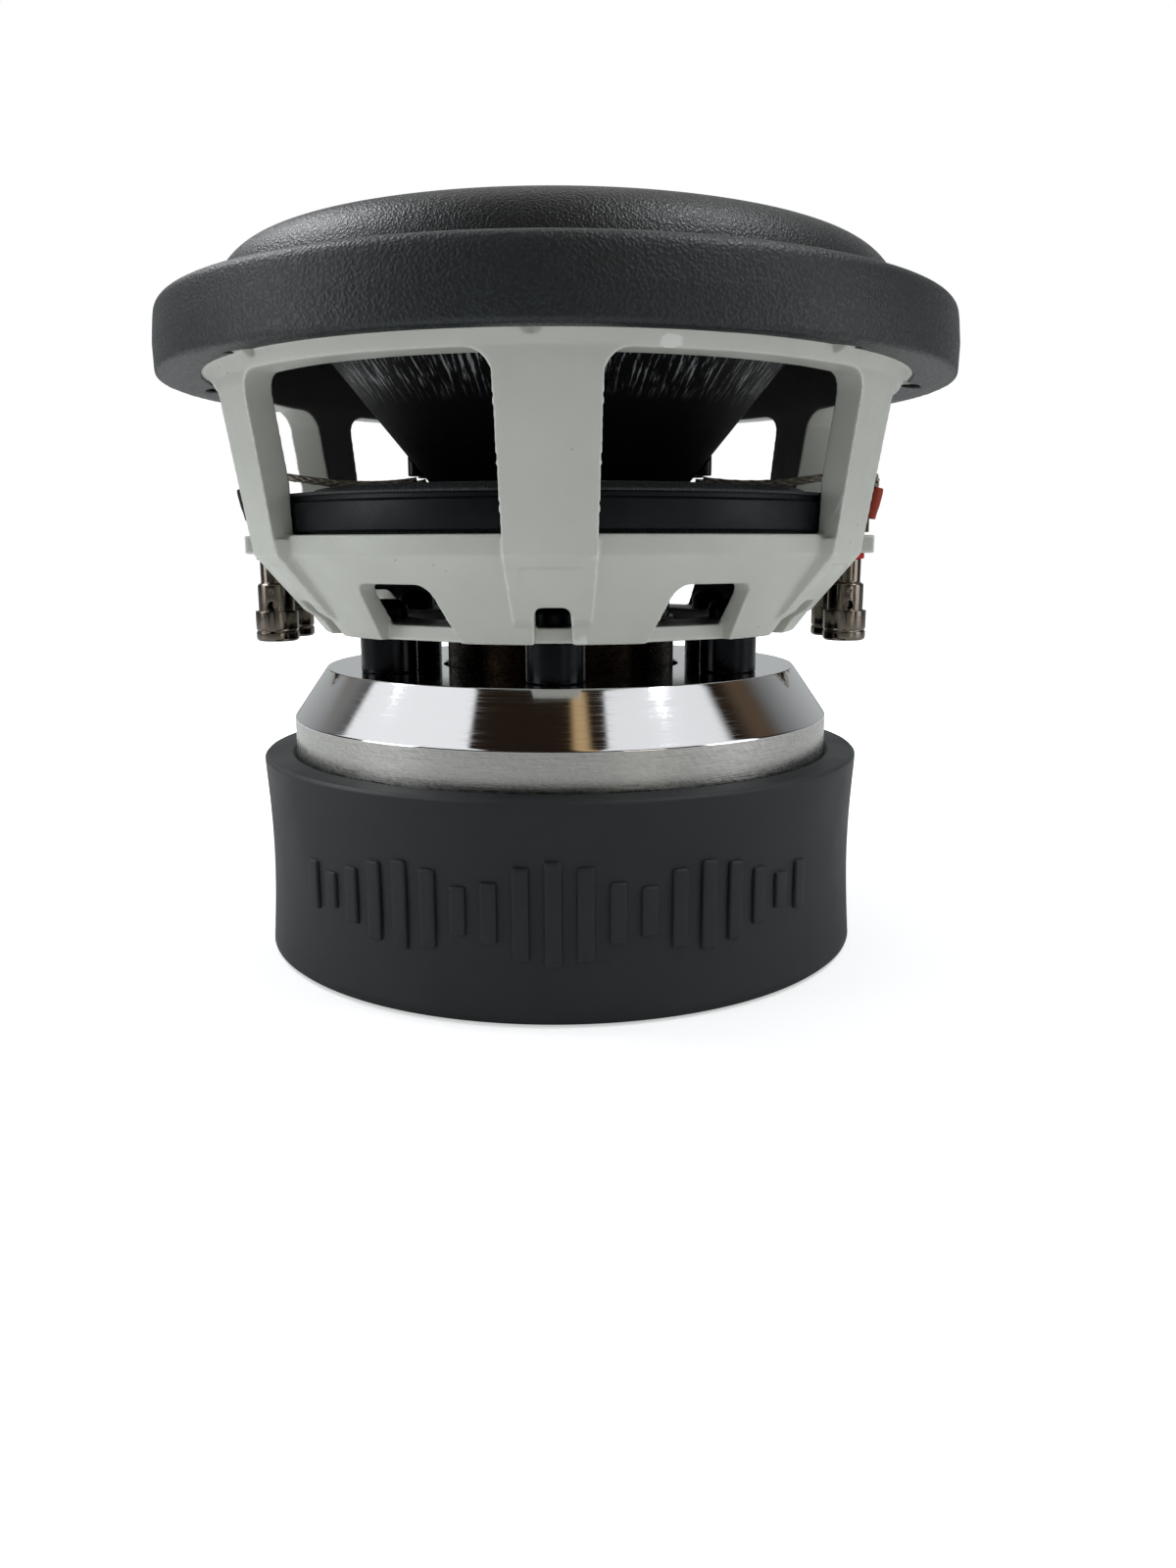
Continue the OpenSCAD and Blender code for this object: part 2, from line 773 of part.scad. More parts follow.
module dust_cap() {
    r = 43;
    z = cone_in_z(r) + eps;
    color([0.06, 0.06, 0.07])
        rotate_extrude()
            polygon(concat(
                [[0, z + 9]],
                [for (a = [7 : 7 : 63]) [r * sin(a) / sin(70), z + 9 * (cos(a) - cos(70)) / (1 - cos(70))]],
                [[r, z], [r - 1.2, z - 0.9]],
                [for (a = [63 : -7 : 7])
                    [(r - 1.2) * sin(a) / sin(70), z - 1 + 9 * (cos(a) - cos(70)) / (1 - cos(70))]],
                [[0, z + 8]]));
}

module coil_former() {
    color([0.12, 0.12, 0.13])
        rotate_extrude()
            translate([former_in_r, z_former])
                square([winding_in_r - former_in_r, z_former_top - z_former]);
}

module voice_coil() {
    color([0.35, 0.2, 0.1])
        rotate_extrude()
            translate([winding_in_r, z_wind])
                square([coil_r - winding_in_r, winding_h]);
}

// Ring that the spiders are glued to
module neck_collar() {
    color([0.08, 0.08, 0.08])
        rotate_extrude()
            translate([winding_in_r, z_spider1 - 2.4])
                square([collar_r - winding_in_r, z_neck - z_spider1 + 2.4]);
}

// Drops of glue that hold the leads to the back of the cone
module lead_pads() {
    color([0.04, 0.04, 0.04])
        difference() {
            for (s = [-1, 1])
                for (y = [term_near, term_far])
                    translate(lead_pad(s, y) - [0, 0, 0.4])
                        cylinder(h = 8, r = 2.4);
            rotate_extrude()
                polygon([
                    [coil_r - 4, z_neck], [coil_r + 0.5, z_neck],
                    [cone_edge_r - 1.2, cone_z(cone_edge_r - 1.2)],
                    [coil_r - 4, cone_z(cone_edge_r - 1.2)]]);
        }
}

basket();
trim_ring();
surround();
spider_lower();
spider_upper();
spider_spacer();
standoffs();
motor_bolts();
top_plate();
magnet_upper();
magnet_lower();
back_plate();
pole_sleeve();
vent_screen();
boot();
terminal_bodies();
washers_red();
washers_black();
upper_washers();
terminal_nuts();
solder_lugs();
sleeves_red();
sleeves_black();
cap_ln();
cap_lf();
cap_rn();
cap_rf();
spring_ln();
spring_lf();
spring_rn();
spring_rf();
lead_ln();
lead_lf();
lead_rn();
lead_rf();
cone();
dust_cap();
coil_former();
voice_coil();
neck_collar();
lead_pads();
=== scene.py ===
import math

import bmesh
import bpy
import numpy as np
from bpy.props import FloatProperty, FloatVectorProperty, IntProperty, PointerProperty
from mathutils import Matrix, Vector


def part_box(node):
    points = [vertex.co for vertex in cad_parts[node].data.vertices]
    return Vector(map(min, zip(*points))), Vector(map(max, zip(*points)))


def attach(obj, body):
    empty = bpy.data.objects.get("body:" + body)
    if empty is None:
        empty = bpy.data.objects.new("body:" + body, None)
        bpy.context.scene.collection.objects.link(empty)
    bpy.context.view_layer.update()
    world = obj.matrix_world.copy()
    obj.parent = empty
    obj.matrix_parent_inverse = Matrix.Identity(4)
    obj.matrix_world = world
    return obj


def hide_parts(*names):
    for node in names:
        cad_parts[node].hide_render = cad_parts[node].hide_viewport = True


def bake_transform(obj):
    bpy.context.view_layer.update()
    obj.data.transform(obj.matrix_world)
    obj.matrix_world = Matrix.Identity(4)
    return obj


bl_info = {
    "name": "Car subwoofer speaker",
    "version": (1, 0, 0),
    "blender": (4, 5, 0),
    "location": "3D View > Sidebar > Subwoofer",
    "description": "Builds the looks of an eight-inch class subwoofer round its packed frame",
    "category": "Object",
}

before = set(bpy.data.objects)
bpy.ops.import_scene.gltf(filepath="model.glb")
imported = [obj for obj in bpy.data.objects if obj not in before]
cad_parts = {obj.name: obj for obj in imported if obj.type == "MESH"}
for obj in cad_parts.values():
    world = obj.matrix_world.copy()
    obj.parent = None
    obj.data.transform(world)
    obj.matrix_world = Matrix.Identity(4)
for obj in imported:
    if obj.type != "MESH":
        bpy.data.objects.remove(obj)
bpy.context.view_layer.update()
MM = 0.001
TAU = 2 * math.pi
# One wave of the wave texture at scale 1, in the units of its coordinates
WAVE = 0.314


def span(node):
    """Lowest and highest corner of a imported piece, in millimetres."""
    low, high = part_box(node)
    return low / MM, high / MM


def linear(text):
    """An sRGB hex colour as the linear red, green and blue that Blender works in."""
    shares = [int(text[i:i + 2], 16) / 255 for i in (0, 2, 4)]
    return tuple(s / 12.92 if s <= 0.04045 else ((s + 0.055) / 1.055) ** 2.4 for s in shares)


# Heights and radii, in millimetres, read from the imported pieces
PLATE_LOW, PLATE_HIGH = span("top_plate")
BOOT_HIGH = span("boot")[1]
FLOOR_Z = span("basket")[0].z
SILL_Z = span("spider_lower")[0].z + 1.9
SPACER_HIGH = span("spider_spacer")[1]
POST_R, FORMER_R, BOOT_R = 53.3, 31.8, 86.0
# Where the leads begin and end: the tags' radius, the glue drops' radius and the sleeves' lean
TAG_R, DROP_R, LEAN = 88.4, 41.0, math.radians(12)
ROLL_R, ROLL_W, ROLL_H, SURROUND_T = 81.0, 11.2, 14.3, 1.8
SURROUND_Z = span("surround")[0].z
CONE_LOW, CONE_HIGH = span("cone")
COIL_LOW, COIL_HIGH = span("voice_coil")
COIL_R = COIL_HIGH.x
TERMINALS = {"ln": (-83.0, -1.0), "lf": (-83.0, 18.5), "rn": (83.0, -1.0), "rf": (83.0, 18.5)}
CAP_Z = span("cap_rn")[0].z
BARREL_Z = span("terminal_bodies")[0].z
BAND_Z = span("washers_red")[1].z
TAB_Z = span("upper_washers")[1].z - 0.8


# ---------------------------------------------------------------- nodes and finishes


def fill(tree, node, inputs):
    """Gives a node's inputs their values, or links them to other nodes' outputs."""
    for key, value in inputs.items():
        socket = node.inputs[key]
        if isinstance(value, bpy.types.NodeSocket):
            tree.links.new(value, socket)
        elif socket.type == "RGBA" and len(value) == 3:
            socket.default_value = (*value, 1)
        else:
            socket.default_value = value


def add(tree, kind, inputs=None, **settings):
    """Adds one node with its settings; an input takes a value or another node's output."""
    node = tree.nodes.new(kind)
    for name, value in settings.items():
        setattr(node, name, value)
    fill(tree, node, inputs or {})
    return node


def start(name):
    """A new material with its shader and a place on the object in millimetres."""
    material = bpy.data.materials.new(name)
    material.use_nodes = True
    tree = material.node_tree
    tree.nodes.clear()
    shader = add(tree, "ShaderNodeBsdfPrincipled")
    add(tree, "ShaderNodeOutputMaterial", {"Surface": shader.outputs[0]})
    coordinates = add(tree, "ShaderNodeTexCoord")
    place = add(tree, "ShaderNodeVectorMath", {0: coordinates.outputs["Object"], "Scale": 1000.0},
                operation="SCALE")
    return material, tree, shader, place.outputs[0]


def polar(tree, place, radius):
    """A place read round the speaker's axis: distance round at that radius, radius, height."""
    parts = add(tree, "ShaderNodeSeparateXYZ", {0: place}).outputs
    angle = add(tree, "ShaderNodeMath", {0: parts[1], 1: parts[0]}, operation="ARCTAN2").outputs[0]
    around = add(tree, "ShaderNodeMath", {0: angle, 1: float(radius)}, operation="MULTIPLY").outputs[0]
    flat = add(tree, "ShaderNodeCombineXYZ", {0: parts[0], 1: parts[1]}).outputs[0]
    out = add(tree, "ShaderNodeVectorMath", {0: flat}, operation="LENGTH").outputs["Value"]
    return around, out, parts[2]


def powder_paint():
    """Powder-coated cast aluminium: satin, softly uneven like a sand casting, with dust specks, a painted
    highlight along the edges and painted shade on faces turned to the axis.
    """
    material, tree, shader, place = start("powder coated cast aluminium")
    colours = bpy.context.scene.speaker_finish
    # Slow unevenness of the casting, about 14 mm across
    cloud = add(tree, "ShaderNodeTexNoise", {"Vector": place, "Scale": 1 / 14, "Detail": 2.0})
    shade = add(tree, "ShaderNodeMix", {0: cloud.outputs[0], 6: colours.paint_shade, 7: colours.paint},
                data_type="RGBA")
    # Dust under the coat, drawn at 0.7 mm because the real 0.2 mm specks are too fine to show
    cells = add(tree, "ShaderNodeTexVoronoi", {"Vector": place, "Scale": 1 / 4.2, "Randomness": 1.0})
    speck = add(tree, "ShaderNodeMapRange",
                {0: cells.outputs["Distance"], 1: 0.05, 2: 0.085, 3: 1.0, 4: 0.0},
                interpolation_type="SMOOTHSTEP").outputs[0]
    rare = add(tree, "ShaderNodeTexNoise", {"Vector": place, "Scale": 1 / 9, "Detail": 1.0})
    rare = add(tree, "ShaderNodeMapRange",
               {0: rare.outputs[0], 1: 0.56, 2: 0.62, 3: 0.0, 4: 0.75},
               interpolation_type="SMOOTHSTEP").outputs[0]
    speck = add(tree, "ShaderNodeMath", {0: speck, 1: rare}, operation="MULTIPLY").outputs[0]
    dust_and_painted_light = add(tree, "ShaderNodeMix", {0: speck, 6: shade.outputs[2], 7: linear("3b3a35")},
                data_type="RGBA")
    # Orange peel of the powder, about 0.9 mm, over the 5 mm waves of the casting
    peel = add(tree, "ShaderNodeTexNoise", {"Vector": place, "Scale": 1 / 0.9, "Detail": 1.0})
    swell = add(tree, "ShaderNodeTexNoise", {"Vector": place, "Scale": 1 / 5, "Detail": 2.0})
    low = add(tree, "ShaderNodeBump", {"Height": swell.outputs[0], "Strength": 0.5, "Distance": 0.00012})
    bump = add(tree, "ShaderNodeBump", {"Height": peel.outputs[0], "Strength": 0.35,
                                        "Distance": 0.00003, "Normal": low.outputs[0]})
    rough = add(tree, "ShaderNodeMapRange",
                {0: swell.outputs[0], 1: 0.3, 2: 0.7, 3: 0.34, 4: 0.46},
                interpolation_type="SMOOTHSTEP").outputs[0]
    # Edges are painted lighter by their pointiness: a painted highlight along the edges
    edge = add(tree, "ShaderNodeNewGeometry").outputs["Pointiness"]
    edge = add(tree, "ShaderNodeMapRange",
               {0: edge, 1: 0.51, 2: 0.55, 3: 0.0, 4: 0.75},
               interpolation_type="SMOOTHSTEP").outputs[0]
    dust_and_painted_light = add(tree, "ShaderNodeMix", {0: edge, 6: dust_and_painted_light.outputs[2], 7: linear("ecede7")},
                data_type="RGBA")
    # Faces that look at the axis are darkened by choice: it stands in for the shade inside the
    # basket, and isn't a second finish
    flat = add(tree, "ShaderNodeVectorMath", {0: place, 1: (-1, -1, 0)}, operation="MULTIPLY")
    inward = add(tree, "ShaderNodeVectorMath", {0: flat.outputs[0]}, operation="NORMALIZE")
    facing = add(tree, "ShaderNodeNewGeometry").outputs["Normal"]
    inside = add(tree, "ShaderNodeVectorMath", {0: inward.outputs[0], 1: facing},
                 operation="DOT_PRODUCT").outputs["Value"]
    inside = add(tree, "ShaderNodeMapRange",
                 {0: inside, 1: 0.45, 2: 0.85, 3: 0.0, 4: 0.8},
                 interpolation_type="SMOOTHSTEP").outputs[0]
    dust_and_painted_light = add(tree, "ShaderNodeMix", {0: inside, 6: dust_and_painted_light.outputs[2], 7: linear("2e2f2f")},
                data_type="RGBA")
    fill(tree, shader, {"Base Color": dust_and_painted_light.outputs[2], "Roughness": rough, "Normal": bump.outputs[0]})
    return material


def moulded_rubber(name, deep, high, grain, depth, rough, glint):
    """Moulded rubber with a pebble grain of that many millimetres; the pebbles' crowns are painted lighter,
    a painted highlight on the grain.
    """
    material, tree, shader, place = start(name)
    wobble = add(tree, "ShaderNodeTexNoise", {"Vector": place, "Scale": 0.6 / grain, "Detail": 2.0})
    moved = add(tree, "ShaderNodeVectorMath", {0: wobble.outputs["Color"], "Scale": grain * 0.4},
                operation="SCALE")
    moved = add(tree, "ShaderNodeVectorMath", {0: place, 1: moved.outputs[0]}, operation="ADD")
    cells = add(tree, "ShaderNodeTexVoronoi", {"Vector": moved.outputs[0], "Scale": 1 / grain},
                feature="SMOOTH_F1")
    fine = add(tree, "ShaderNodeTexNoise", {"Vector": place, "Scale": 2.4 / grain, "Detail": 2.0})
    crown = add(tree, "ShaderNodeMapRange",
                {0: cells.outputs["Distance"], 1: 0.05, 2: 0.7, 3: 1.0, 4: 0.0},
                interpolation_type="SMOOTHSTEP").outputs[0]
    height = add(tree, "ShaderNodeMath", {0: fine.outputs[0], 1: 0.35, 2: crown},
                 operation="MULTIPLY_ADD").outputs[0]
    # The crowns are painted lighter in patches about 22 mm across: a painted highlight on the grain
    cloud = add(tree, "ShaderNodeTexNoise", {"Vector": place, "Scale": 1 / 22, "Detail": 3.0})
    tone = add(tree, "ShaderNodeMath", {0: crown, 1: cloud.outputs[0]}, operation="MULTIPLY").outputs[0]
    colour = add(tree, "ShaderNodeMix", {0: tone, 6: deep, 7: high}, data_type="RGBA")
    bump = add(tree, "ShaderNodeBump", {"Height": height, "Strength": 0.8, "Distance": depth * MM})
    sheen = add(tree, "ShaderNodeMapRange",
                {0: crown, 1: 0.2, 2: 1.0, 3: rough, 4: rough - glint},
                interpolation_type="SMOOTHSTEP").outputs[0]
    fill(tree, shader, {"Base Color": colour.outputs[2], "Roughness": sheen, "Normal": bump.outputs[0],
                        "Specular IOR Level": 0.45})
    return material


def turned_chrome():
    """Chrome plate over turned steel: a mirror crossed by the fine rings that the lathe tool left."""
    material, tree, shader, place = start("turned and polished chrome plate")
    around, out, up = polar(tree, place, 72)
    # Tool marks 0.45 mm apart, coarser than the real 0.15 mm so that they show
    run = add(tree, "ShaderNodeMath", {0: out, 1: up}, operation="SUBTRACT").outputs[0]
    lane = add(tree, "ShaderNodeCombineXYZ", {0: add(tree, "ShaderNodeMath", {0: around, 1: 0.012},
               operation="MULTIPLY").outputs[0], 1: run}).outputs[0]
    marks = add(tree, "ShaderNodeTexNoise", {"Vector": lane, "Scale": 1 / 0.45, "Detail": 3.0,
                                             "Roughness": 0.6})
    wide = add(tree, "ShaderNodeTexNoise", {"Vector": lane, "Scale": 1 / 3.0, "Detail": 1.0})
    bump = add(tree, "ShaderNodeBump", {"Height": marks.outputs[0], "Strength": 0.5,
                                        "Distance": 0.0000028})
    bump = add(tree, "ShaderNodeBump", {"Height": wide.outputs[0], "Strength": 0.5,
                                        "Distance": 0.00001, "Normal": bump.outputs[0]})
    rough = add(tree, "ShaderNodeMapRange",
                {0: marks.outputs[0], 1: 0.35, 2: 0.75, 3: 0.045, 4: 0.14},
                interpolation_type="SMOOTHSTEP").outputs[0]
    fill(tree, shader, {"Base Color": linear("dcdcdd"), "Metallic": 1.0, "Roughness": rough,
                        "Normal": bump.outputs[0]})
    return material


def brushed_chrome():
    """The plate's side, left as turned under thin plating: a broad streaked gleam round it."""
    material, tree, shader, place = start("turned steel under thin chrome")
    around, _, up = polar(tree, place, 77)
    lane = add(tree, "ShaderNodeCombineXYZ", {0: add(tree, "ShaderNodeMath", {0: around, 1: 0.03},
               operation="MULTIPLY").outputs[0], 1: up}).outputs[0]
    marks = add(tree, "ShaderNodeTexNoise", {"Vector": lane, "Scale": 1 / 0.32, "Detail": 4.0,
                                             "Roughness": 0.7})
    # Cross scratches at a slant, 1.5 mm apart
    slant = add(tree, "ShaderNodeCombineXYZ", {0: add(tree, "ShaderNodeMath", {0: around, 1: up},
                operation="ADD").outputs[0], 1: up}).outputs[0]
    cross = add(tree, "ShaderNodeTexNoise", {"Vector": slant, "Scale": 1 / 1.5, "Detail": 4.0})
    both = add(tree, "ShaderNodeMath", {0: cross.outputs[0], 1: 0.5, 2: marks.outputs[0]},
               operation="MULTIPLY_ADD").outputs[0]
    colour = add(tree, "ShaderNodeMix", {0: both, 6: linear("5c5c59"), 7: linear("c0bfba")},
                 data_type="RGBA")
    bump = add(tree, "ShaderNodeBump", {"Height": both, "Strength": 0.7, "Distance": 0.00004})
    rough = add(tree, "ShaderNodeMapRange",
                {0: both, 1: 0.5, 2: 1.0, 3: 0.2, 4: 0.36},
                interpolation_type="SMOOTHSTEP").outputs[0]
    fill(tree, shader, {"Metallic": 1.0, "Base Color": colour.outputs[2], "Roughness": rough,
                        "Normal": bump.outputs[0]})
    return material


def matt_boot():
    """Soft synthetic rubber, moulded against a blasted tool: dull charcoal, with a painted highlight along
    the top rim.
    """
    material, tree, shader, place = start("matt moulded boot rubber")
    colours = bpy.context.scene.speaker_finish
    up = add(tree, "ShaderNodeSeparateXYZ", {0: place}).outputs[2]
    cloud = add(tree, "ShaderNodeTexNoise", {"Vector": place, "Scale": 1 / 30, "Detail": 4.0})
    # Blasted texture, 0.5 mm
    blast = add(tree, "ShaderNodeTexNoise", {"Vector": place, "Scale": 1 / 0.5, "Detail": 2.0})
    tone = add(tree, "ShaderNodeMapRange",
               {0: cloud.outputs[0], 1: 0.3, 2: 0.7, 3: 0.0, 4: 0.7},
               interpolation_type="SMOOTHSTEP").outputs[0]
    # Painted highlight: the top 1.2 mm of the rim is mixed towards the lighter colour
    top = add(tree, "ShaderNodeMapRange",
              {0: up, 1: BOOT_HIGH.z - 1.2, 2: BOOT_HIGH.z - 0.2, 3: 0.0, 4: 1.6},
              interpolation_type="SMOOTHSTEP").outputs[0]
    tone = add(tree, "ShaderNodeMath", {0: tone, 1: top}, operation="ADD").outputs[0]
    colour = add(tree, "ShaderNodeMix", {0: tone, 6: colours.boot, 7: linear("212629")}, data_type="RGBA")
    bump = add(tree, "ShaderNodeBump", {"Height": blast.outputs[0], "Strength": 0.5,
                                        "Distance": 0.00004})
    rough = add(tree, "ShaderNodeMapRange",
                {0: cloud.outputs[0], 1: 0.3, 2: 0.7, 3: 0.5, 4: 0.62},
                interpolation_type="SMOOTHSTEP").outputs[0]
    fill(tree, shader, {"Base Color": colour.outputs[2], "Roughness": rough, "Normal": bump.outputs[0],
                        "Specular IOR Level": 0.4})
    return material


def treated_cloth():
    """Plain-woven cotton and aramid cloth stiffened with dark resin, threads along X and Y."""
    material, tree, shader, place = start("resin treated woven cloth")
    # Threads 0.9 mm apart, coarsened from 0.5 mm so that the weave shows
    warp = add(tree, "ShaderNodeTexWave", {"Vector": place, "Scale": WAVE / 0.9, "Distortion": 0.3},
               bands_direction="X")
    weft = add(tree, "ShaderNodeTexWave", {"Vector": place, "Scale": WAVE / 0.9, "Distortion": 0.3},
               bands_direction="Y")
    over = add(tree, "ShaderNodeMath", {0: warp.outputs["Fac"], 1: weft.outputs["Fac"]},
               operation="MULTIPLY").outputs[0]
    fuzz = add(tree, "ShaderNodeTexNoise", {"Vector": place, "Scale": 1 / 0.35, "Detail": 2.0})
    weave = add(tree, "ShaderNodeMath", {0: fuzz.outputs[0], 1: 0.4, 2: over},
                operation="MULTIPLY_ADD").outputs[0]
    colour = add(tree, "ShaderNodeMix", {0: weave, 6: linear("0b0d0f"), 7: linear("2c3033")},
                 data_type="RGBA")
    bump = add(tree, "ShaderNodeBump", {"Height": weave, "Strength": 0.8, "Distance": 0.00012})
    fill(tree, shader, {"Base Color": colour.outputs[2], "Normal": bump.outputs[0], "Roughness": 0.6,
                        "Sheen Weight": 0.1})
    return material


def pressed_fibre():
    """Pressed fibre brushed with black lacquer, which lies in glossy streaks toward the edge."""
    material, tree, shader, place = start("pressed fibre with brushed black lacquer")
    around, _, up = polar(tree, place, 60)
    # Brush strokes 1.1 mm wide that run down the cone
    lane = add(tree, "ShaderNodeCombineXYZ", {0: around, 1: add(tree, "ShaderNodeMath",
               {0: up, 1: 0.16}, operation="MULTIPLY").outputs[0]}).outputs[0]
    strokes = add(tree, "ShaderNodeTexNoise", {"Vector": lane, "Scale": 1 / 1.1, "Detail": 4.0,
                                               "Roughness": 0.65})
    patches = add(tree, "ShaderNodeTexNoise", {"Vector": place, "Scale": 1 / 9, "Detail": 2.0})
    fibre = add(tree, "ShaderNodeTexNoise", {"Vector": place, "Scale": 1 / 0.6, "Detail": 3.0})
    high = add(tree, "ShaderNodeMapRange",
               {0: up, 1: CONE_HIGH.z - 24, 2: CONE_HIGH.z - 16, 3: 0.0, 4: 1.0},
               interpolation_type="SMOOTHSTEP").outputs[0]
    shader.inputs["Specular IOR Level"].default_value = 0.12
    wet = add(tree, "ShaderNodeMapRange",
              {0: strokes.outputs[0], 1: 0.42, 2: 0.6, 3: 0.0, 4: 1.0},
              interpolation_type="SMOOTHSTEP").outputs[0]
    wet = add(tree, "ShaderNodeMath", {0: wet, 1: high}, operation="MULTIPLY").outputs[0]
    rough = add(tree, "ShaderNodeMapRange",
                {0: wet, 1: 0.0, 2: 1.0, 3: 0.6, 4: 0.2},
                interpolation_type="SMOOTHSTEP").outputs[0]
    tone = add(tree, "ShaderNodeMath", {0: patches.outputs[0], 1: fibre.outputs[0]},
               operation="MULTIPLY").outputs[0]
    colour = add(tree, "ShaderNodeMix", {0: tone, 6: linear("020203"), 7: linear("0a0b0c")},
                 data_type="RGBA")
    # Pale crests stand in for glints off the wet strokes, and aren't a second lacquer
    crest = add(tree, "ShaderNodeMapRange",
                {0: strokes.outputs[0], 1: 0.52, 2: 0.64, 3: 0.0, 4: 1.0},
                interpolation_type="SMOOTHSTEP").outputs[0]
    crest = add(tree, "ShaderNodeMath", {0: crest, 1: high}, operation="MULTIPLY").outputs[0]
    colour = add(tree, "ShaderNodeMix", {0: crest, 6: colour.outputs[2], 7: linear("a4a7a9")},
                 data_type="RGBA")
    height = add(tree, "ShaderNodeMath", {0: strokes.outputs[0], 1: high, 2: fibre.outputs[0]},
                 operation="MULTIPLY_ADD").outputs[0]
    bump = add(tree, "ShaderNodeBump", {"Height": height, "Strength": 0.9, "Distance": 0.00022})
    fill(tree, shader, {"Base Color": colour.outputs[2], "Roughness": rough, "Normal": bump.outputs[0]})
    return material


def lacquered_wire():
    """Round copper wire under dark polyimide lacquer: brown-black, with uneven gloss."""
    material, tree, shader, place = start("lacquered copper wire")
    tint = add(tree, "ShaderNodeTexNoise", {"Vector": place, "Scale": 1 / 6, "Detail": 3.0})
    colour = add(tree, "ShaderNodeMix", {0: tint.outputs[0], 6: linear("120c06"), 7: linear("3a2a18")},
                 data_type="RGBA")
    drip = add(tree, "ShaderNodeTexNoise", {"Vector": place, "Scale": 1 / 1.5, "Detail": 2.0})
    rough = add(tree, "ShaderNodeMapRange",
                {0: drip.outputs[0], 1: 0.3, 2: 0.7, 3: 0.2, 4: 0.42},
                interpolation_type="SMOOTHSTEP").outputs[0]
    fill(tree, shader, {"Base Color": colour.outputs[2], "Roughness": rough, "Metallic": 0.8})
    return material


def tinsel_braid():
    """Tinned copper tinsel over cotton, braided: dull silver ribbons with yellowed gaps."""
    material, tree, shader, place = start("braided tinsel")
    # Single foils, 0.25 mm wide
    foil = add(tree, "ShaderNodeTexNoise", {"Vector": place, "Scale": 1 / 0.25, "Detail": 2.0})
    tarnish = add(tree, "ShaderNodeTexNoise", {"Vector": place, "Scale": 1 / 5, "Detail": 2.0})
    colour = add(tree, "ShaderNodeMix", {0: tarnish.outputs[0], 6: linear("8d8474"), 7: linear("cdc8bb")},
                 data_type="RGBA")
    bump = add(tree, "ShaderNodeBump", {"Height": foil.outputs[0], "Strength": 0.7,
                                        "Distance": 0.00006})
    fill(tree, shader, {"Base Color": colour.outputs[2], "Normal": bump.outputs[0], "Metallic": 0.75,
                        "Roughness": 0.4})
    return material


def small_part(name, dark, light, metallic, rough, grain, depth, patch=6.0):
    """A small part's finish: two tones in patches, and a grain of that size and depth in mm."""
    material, tree, shader, place = start(name)
    cloud = add(tree, "ShaderNodeTexNoise", {"Vector": place, "Scale": 1 / patch, "Detail": 3.0})
    fine = add(tree, "ShaderNodeTexNoise", {"Vector": place, "Scale": 1 / grain, "Detail": 2.0})
    colour = add(tree, "ShaderNodeMix", {0: cloud.outputs[0], 6: linear(dark), 7: linear(light)},
                 data_type="RGBA")
    worn = add(tree, "ShaderNodeMath", {0: cloud.outputs[0], 1: fine.outputs[0]},
               operation="MULTIPLY").outputs[0]
    gloss = add(tree, "ShaderNodeMapRange",
                {0: worn, 1: 0.1, 2: 0.45, 3: rough - 0.06, 4: rough + 0.08},
                interpolation_type="SMOOTHSTEP").outputs[0]
    bump = add(tree, "ShaderNodeBump", {"Height": fine.outputs[0], "Strength": 0.5,
                                        "Distance": depth * MM})
    shader.inputs["Metallic"].default_value = metallic
    if not metallic:
        shader.inputs["Specular IOR Level"].default_value = 0.2
    fill(tree, shader, {"Base Color": colour.outputs[2], "Roughness": gloss, "Normal": bump.outputs[0]})
    return material


# Each small finish: dark and light tone, metallic, roughness, grain and its depth in mm
SMALL_PARTS = {
    "black anodised aluminium": ("08090b", "15171a", 0.85, 0.24, 0.5, 0.004),
    "black oxide steel": ("0c0c0d", "1d1d1f", 0.9, 0.34, 0.4, 0.01),
    "black zinc plated steel": ("161617", "29292b", 0.9, 0.38, 0.8, 0.02),
    "black nickel plated brass": ("4d4740", "8a8176", 1.0, 0.17, 0.4, 0.003),
    "nickel plated brass": ("8f8a80", "bdb8ac", 1.0, 0.24, 0.4, 0.004),
    "tinned brass": ("8d846f", "b9b199", 1.0, 0.32, 0.5, 0.006),
    "spring steel": ("77777a", "a9a9ad", 1.0, 0.25, 0.3, 0.003),
    "pressed steel screen": ("3a3a3c", "59595c", 1.0, 0.38, 0.5, 0.006),
    "plain copper": ("8b4a2b", "c07a50", 1.0, 0.3, 0.6, 0.006),
    "sintered ferrite": ("222225", "333336", 0.2, 0.62, 0.5, 0.03),
    "moulded black nylon": ("04080b", "0a1116", 0.0, 0.42, 0.6, 0.012),
    "moulded red nylon": ("a3130c", "c81d12", 0.0, 0.3, 0.6, 0.008),
    "moulded black insulator": ("070707", "121212", 0.0, 0.32, 0.6, 0.008),
    "red heat-shrink sleeve": ("74200f", "a8402a", 0.0, 0.42, 0.9, 0.03),
    "black heat-shrink sleeve": ("060607", "141416", 0.0, 0.4, 0.9, 0.03),
    "black anodised foil": ("0b0b0d", "17181b", 0.8, 0.3, 0.5, 0.004),
    "satin moulded cap": ("0a0b0c", "16181a", 0.0, 0.4, 0.7, 0.015),
    "cured black adhesive": ("050505", "101011", 0.0, 0.28, 1.4, 0.08),
}


def finish(name):
    """The material of that name, made the first time that it is asked for."""
    made = bpy.data.materials.get(name)
    return made or small_part(name, *SMALL_PARTS[name])


# ---------------------------------------------------------------- mesh helpers


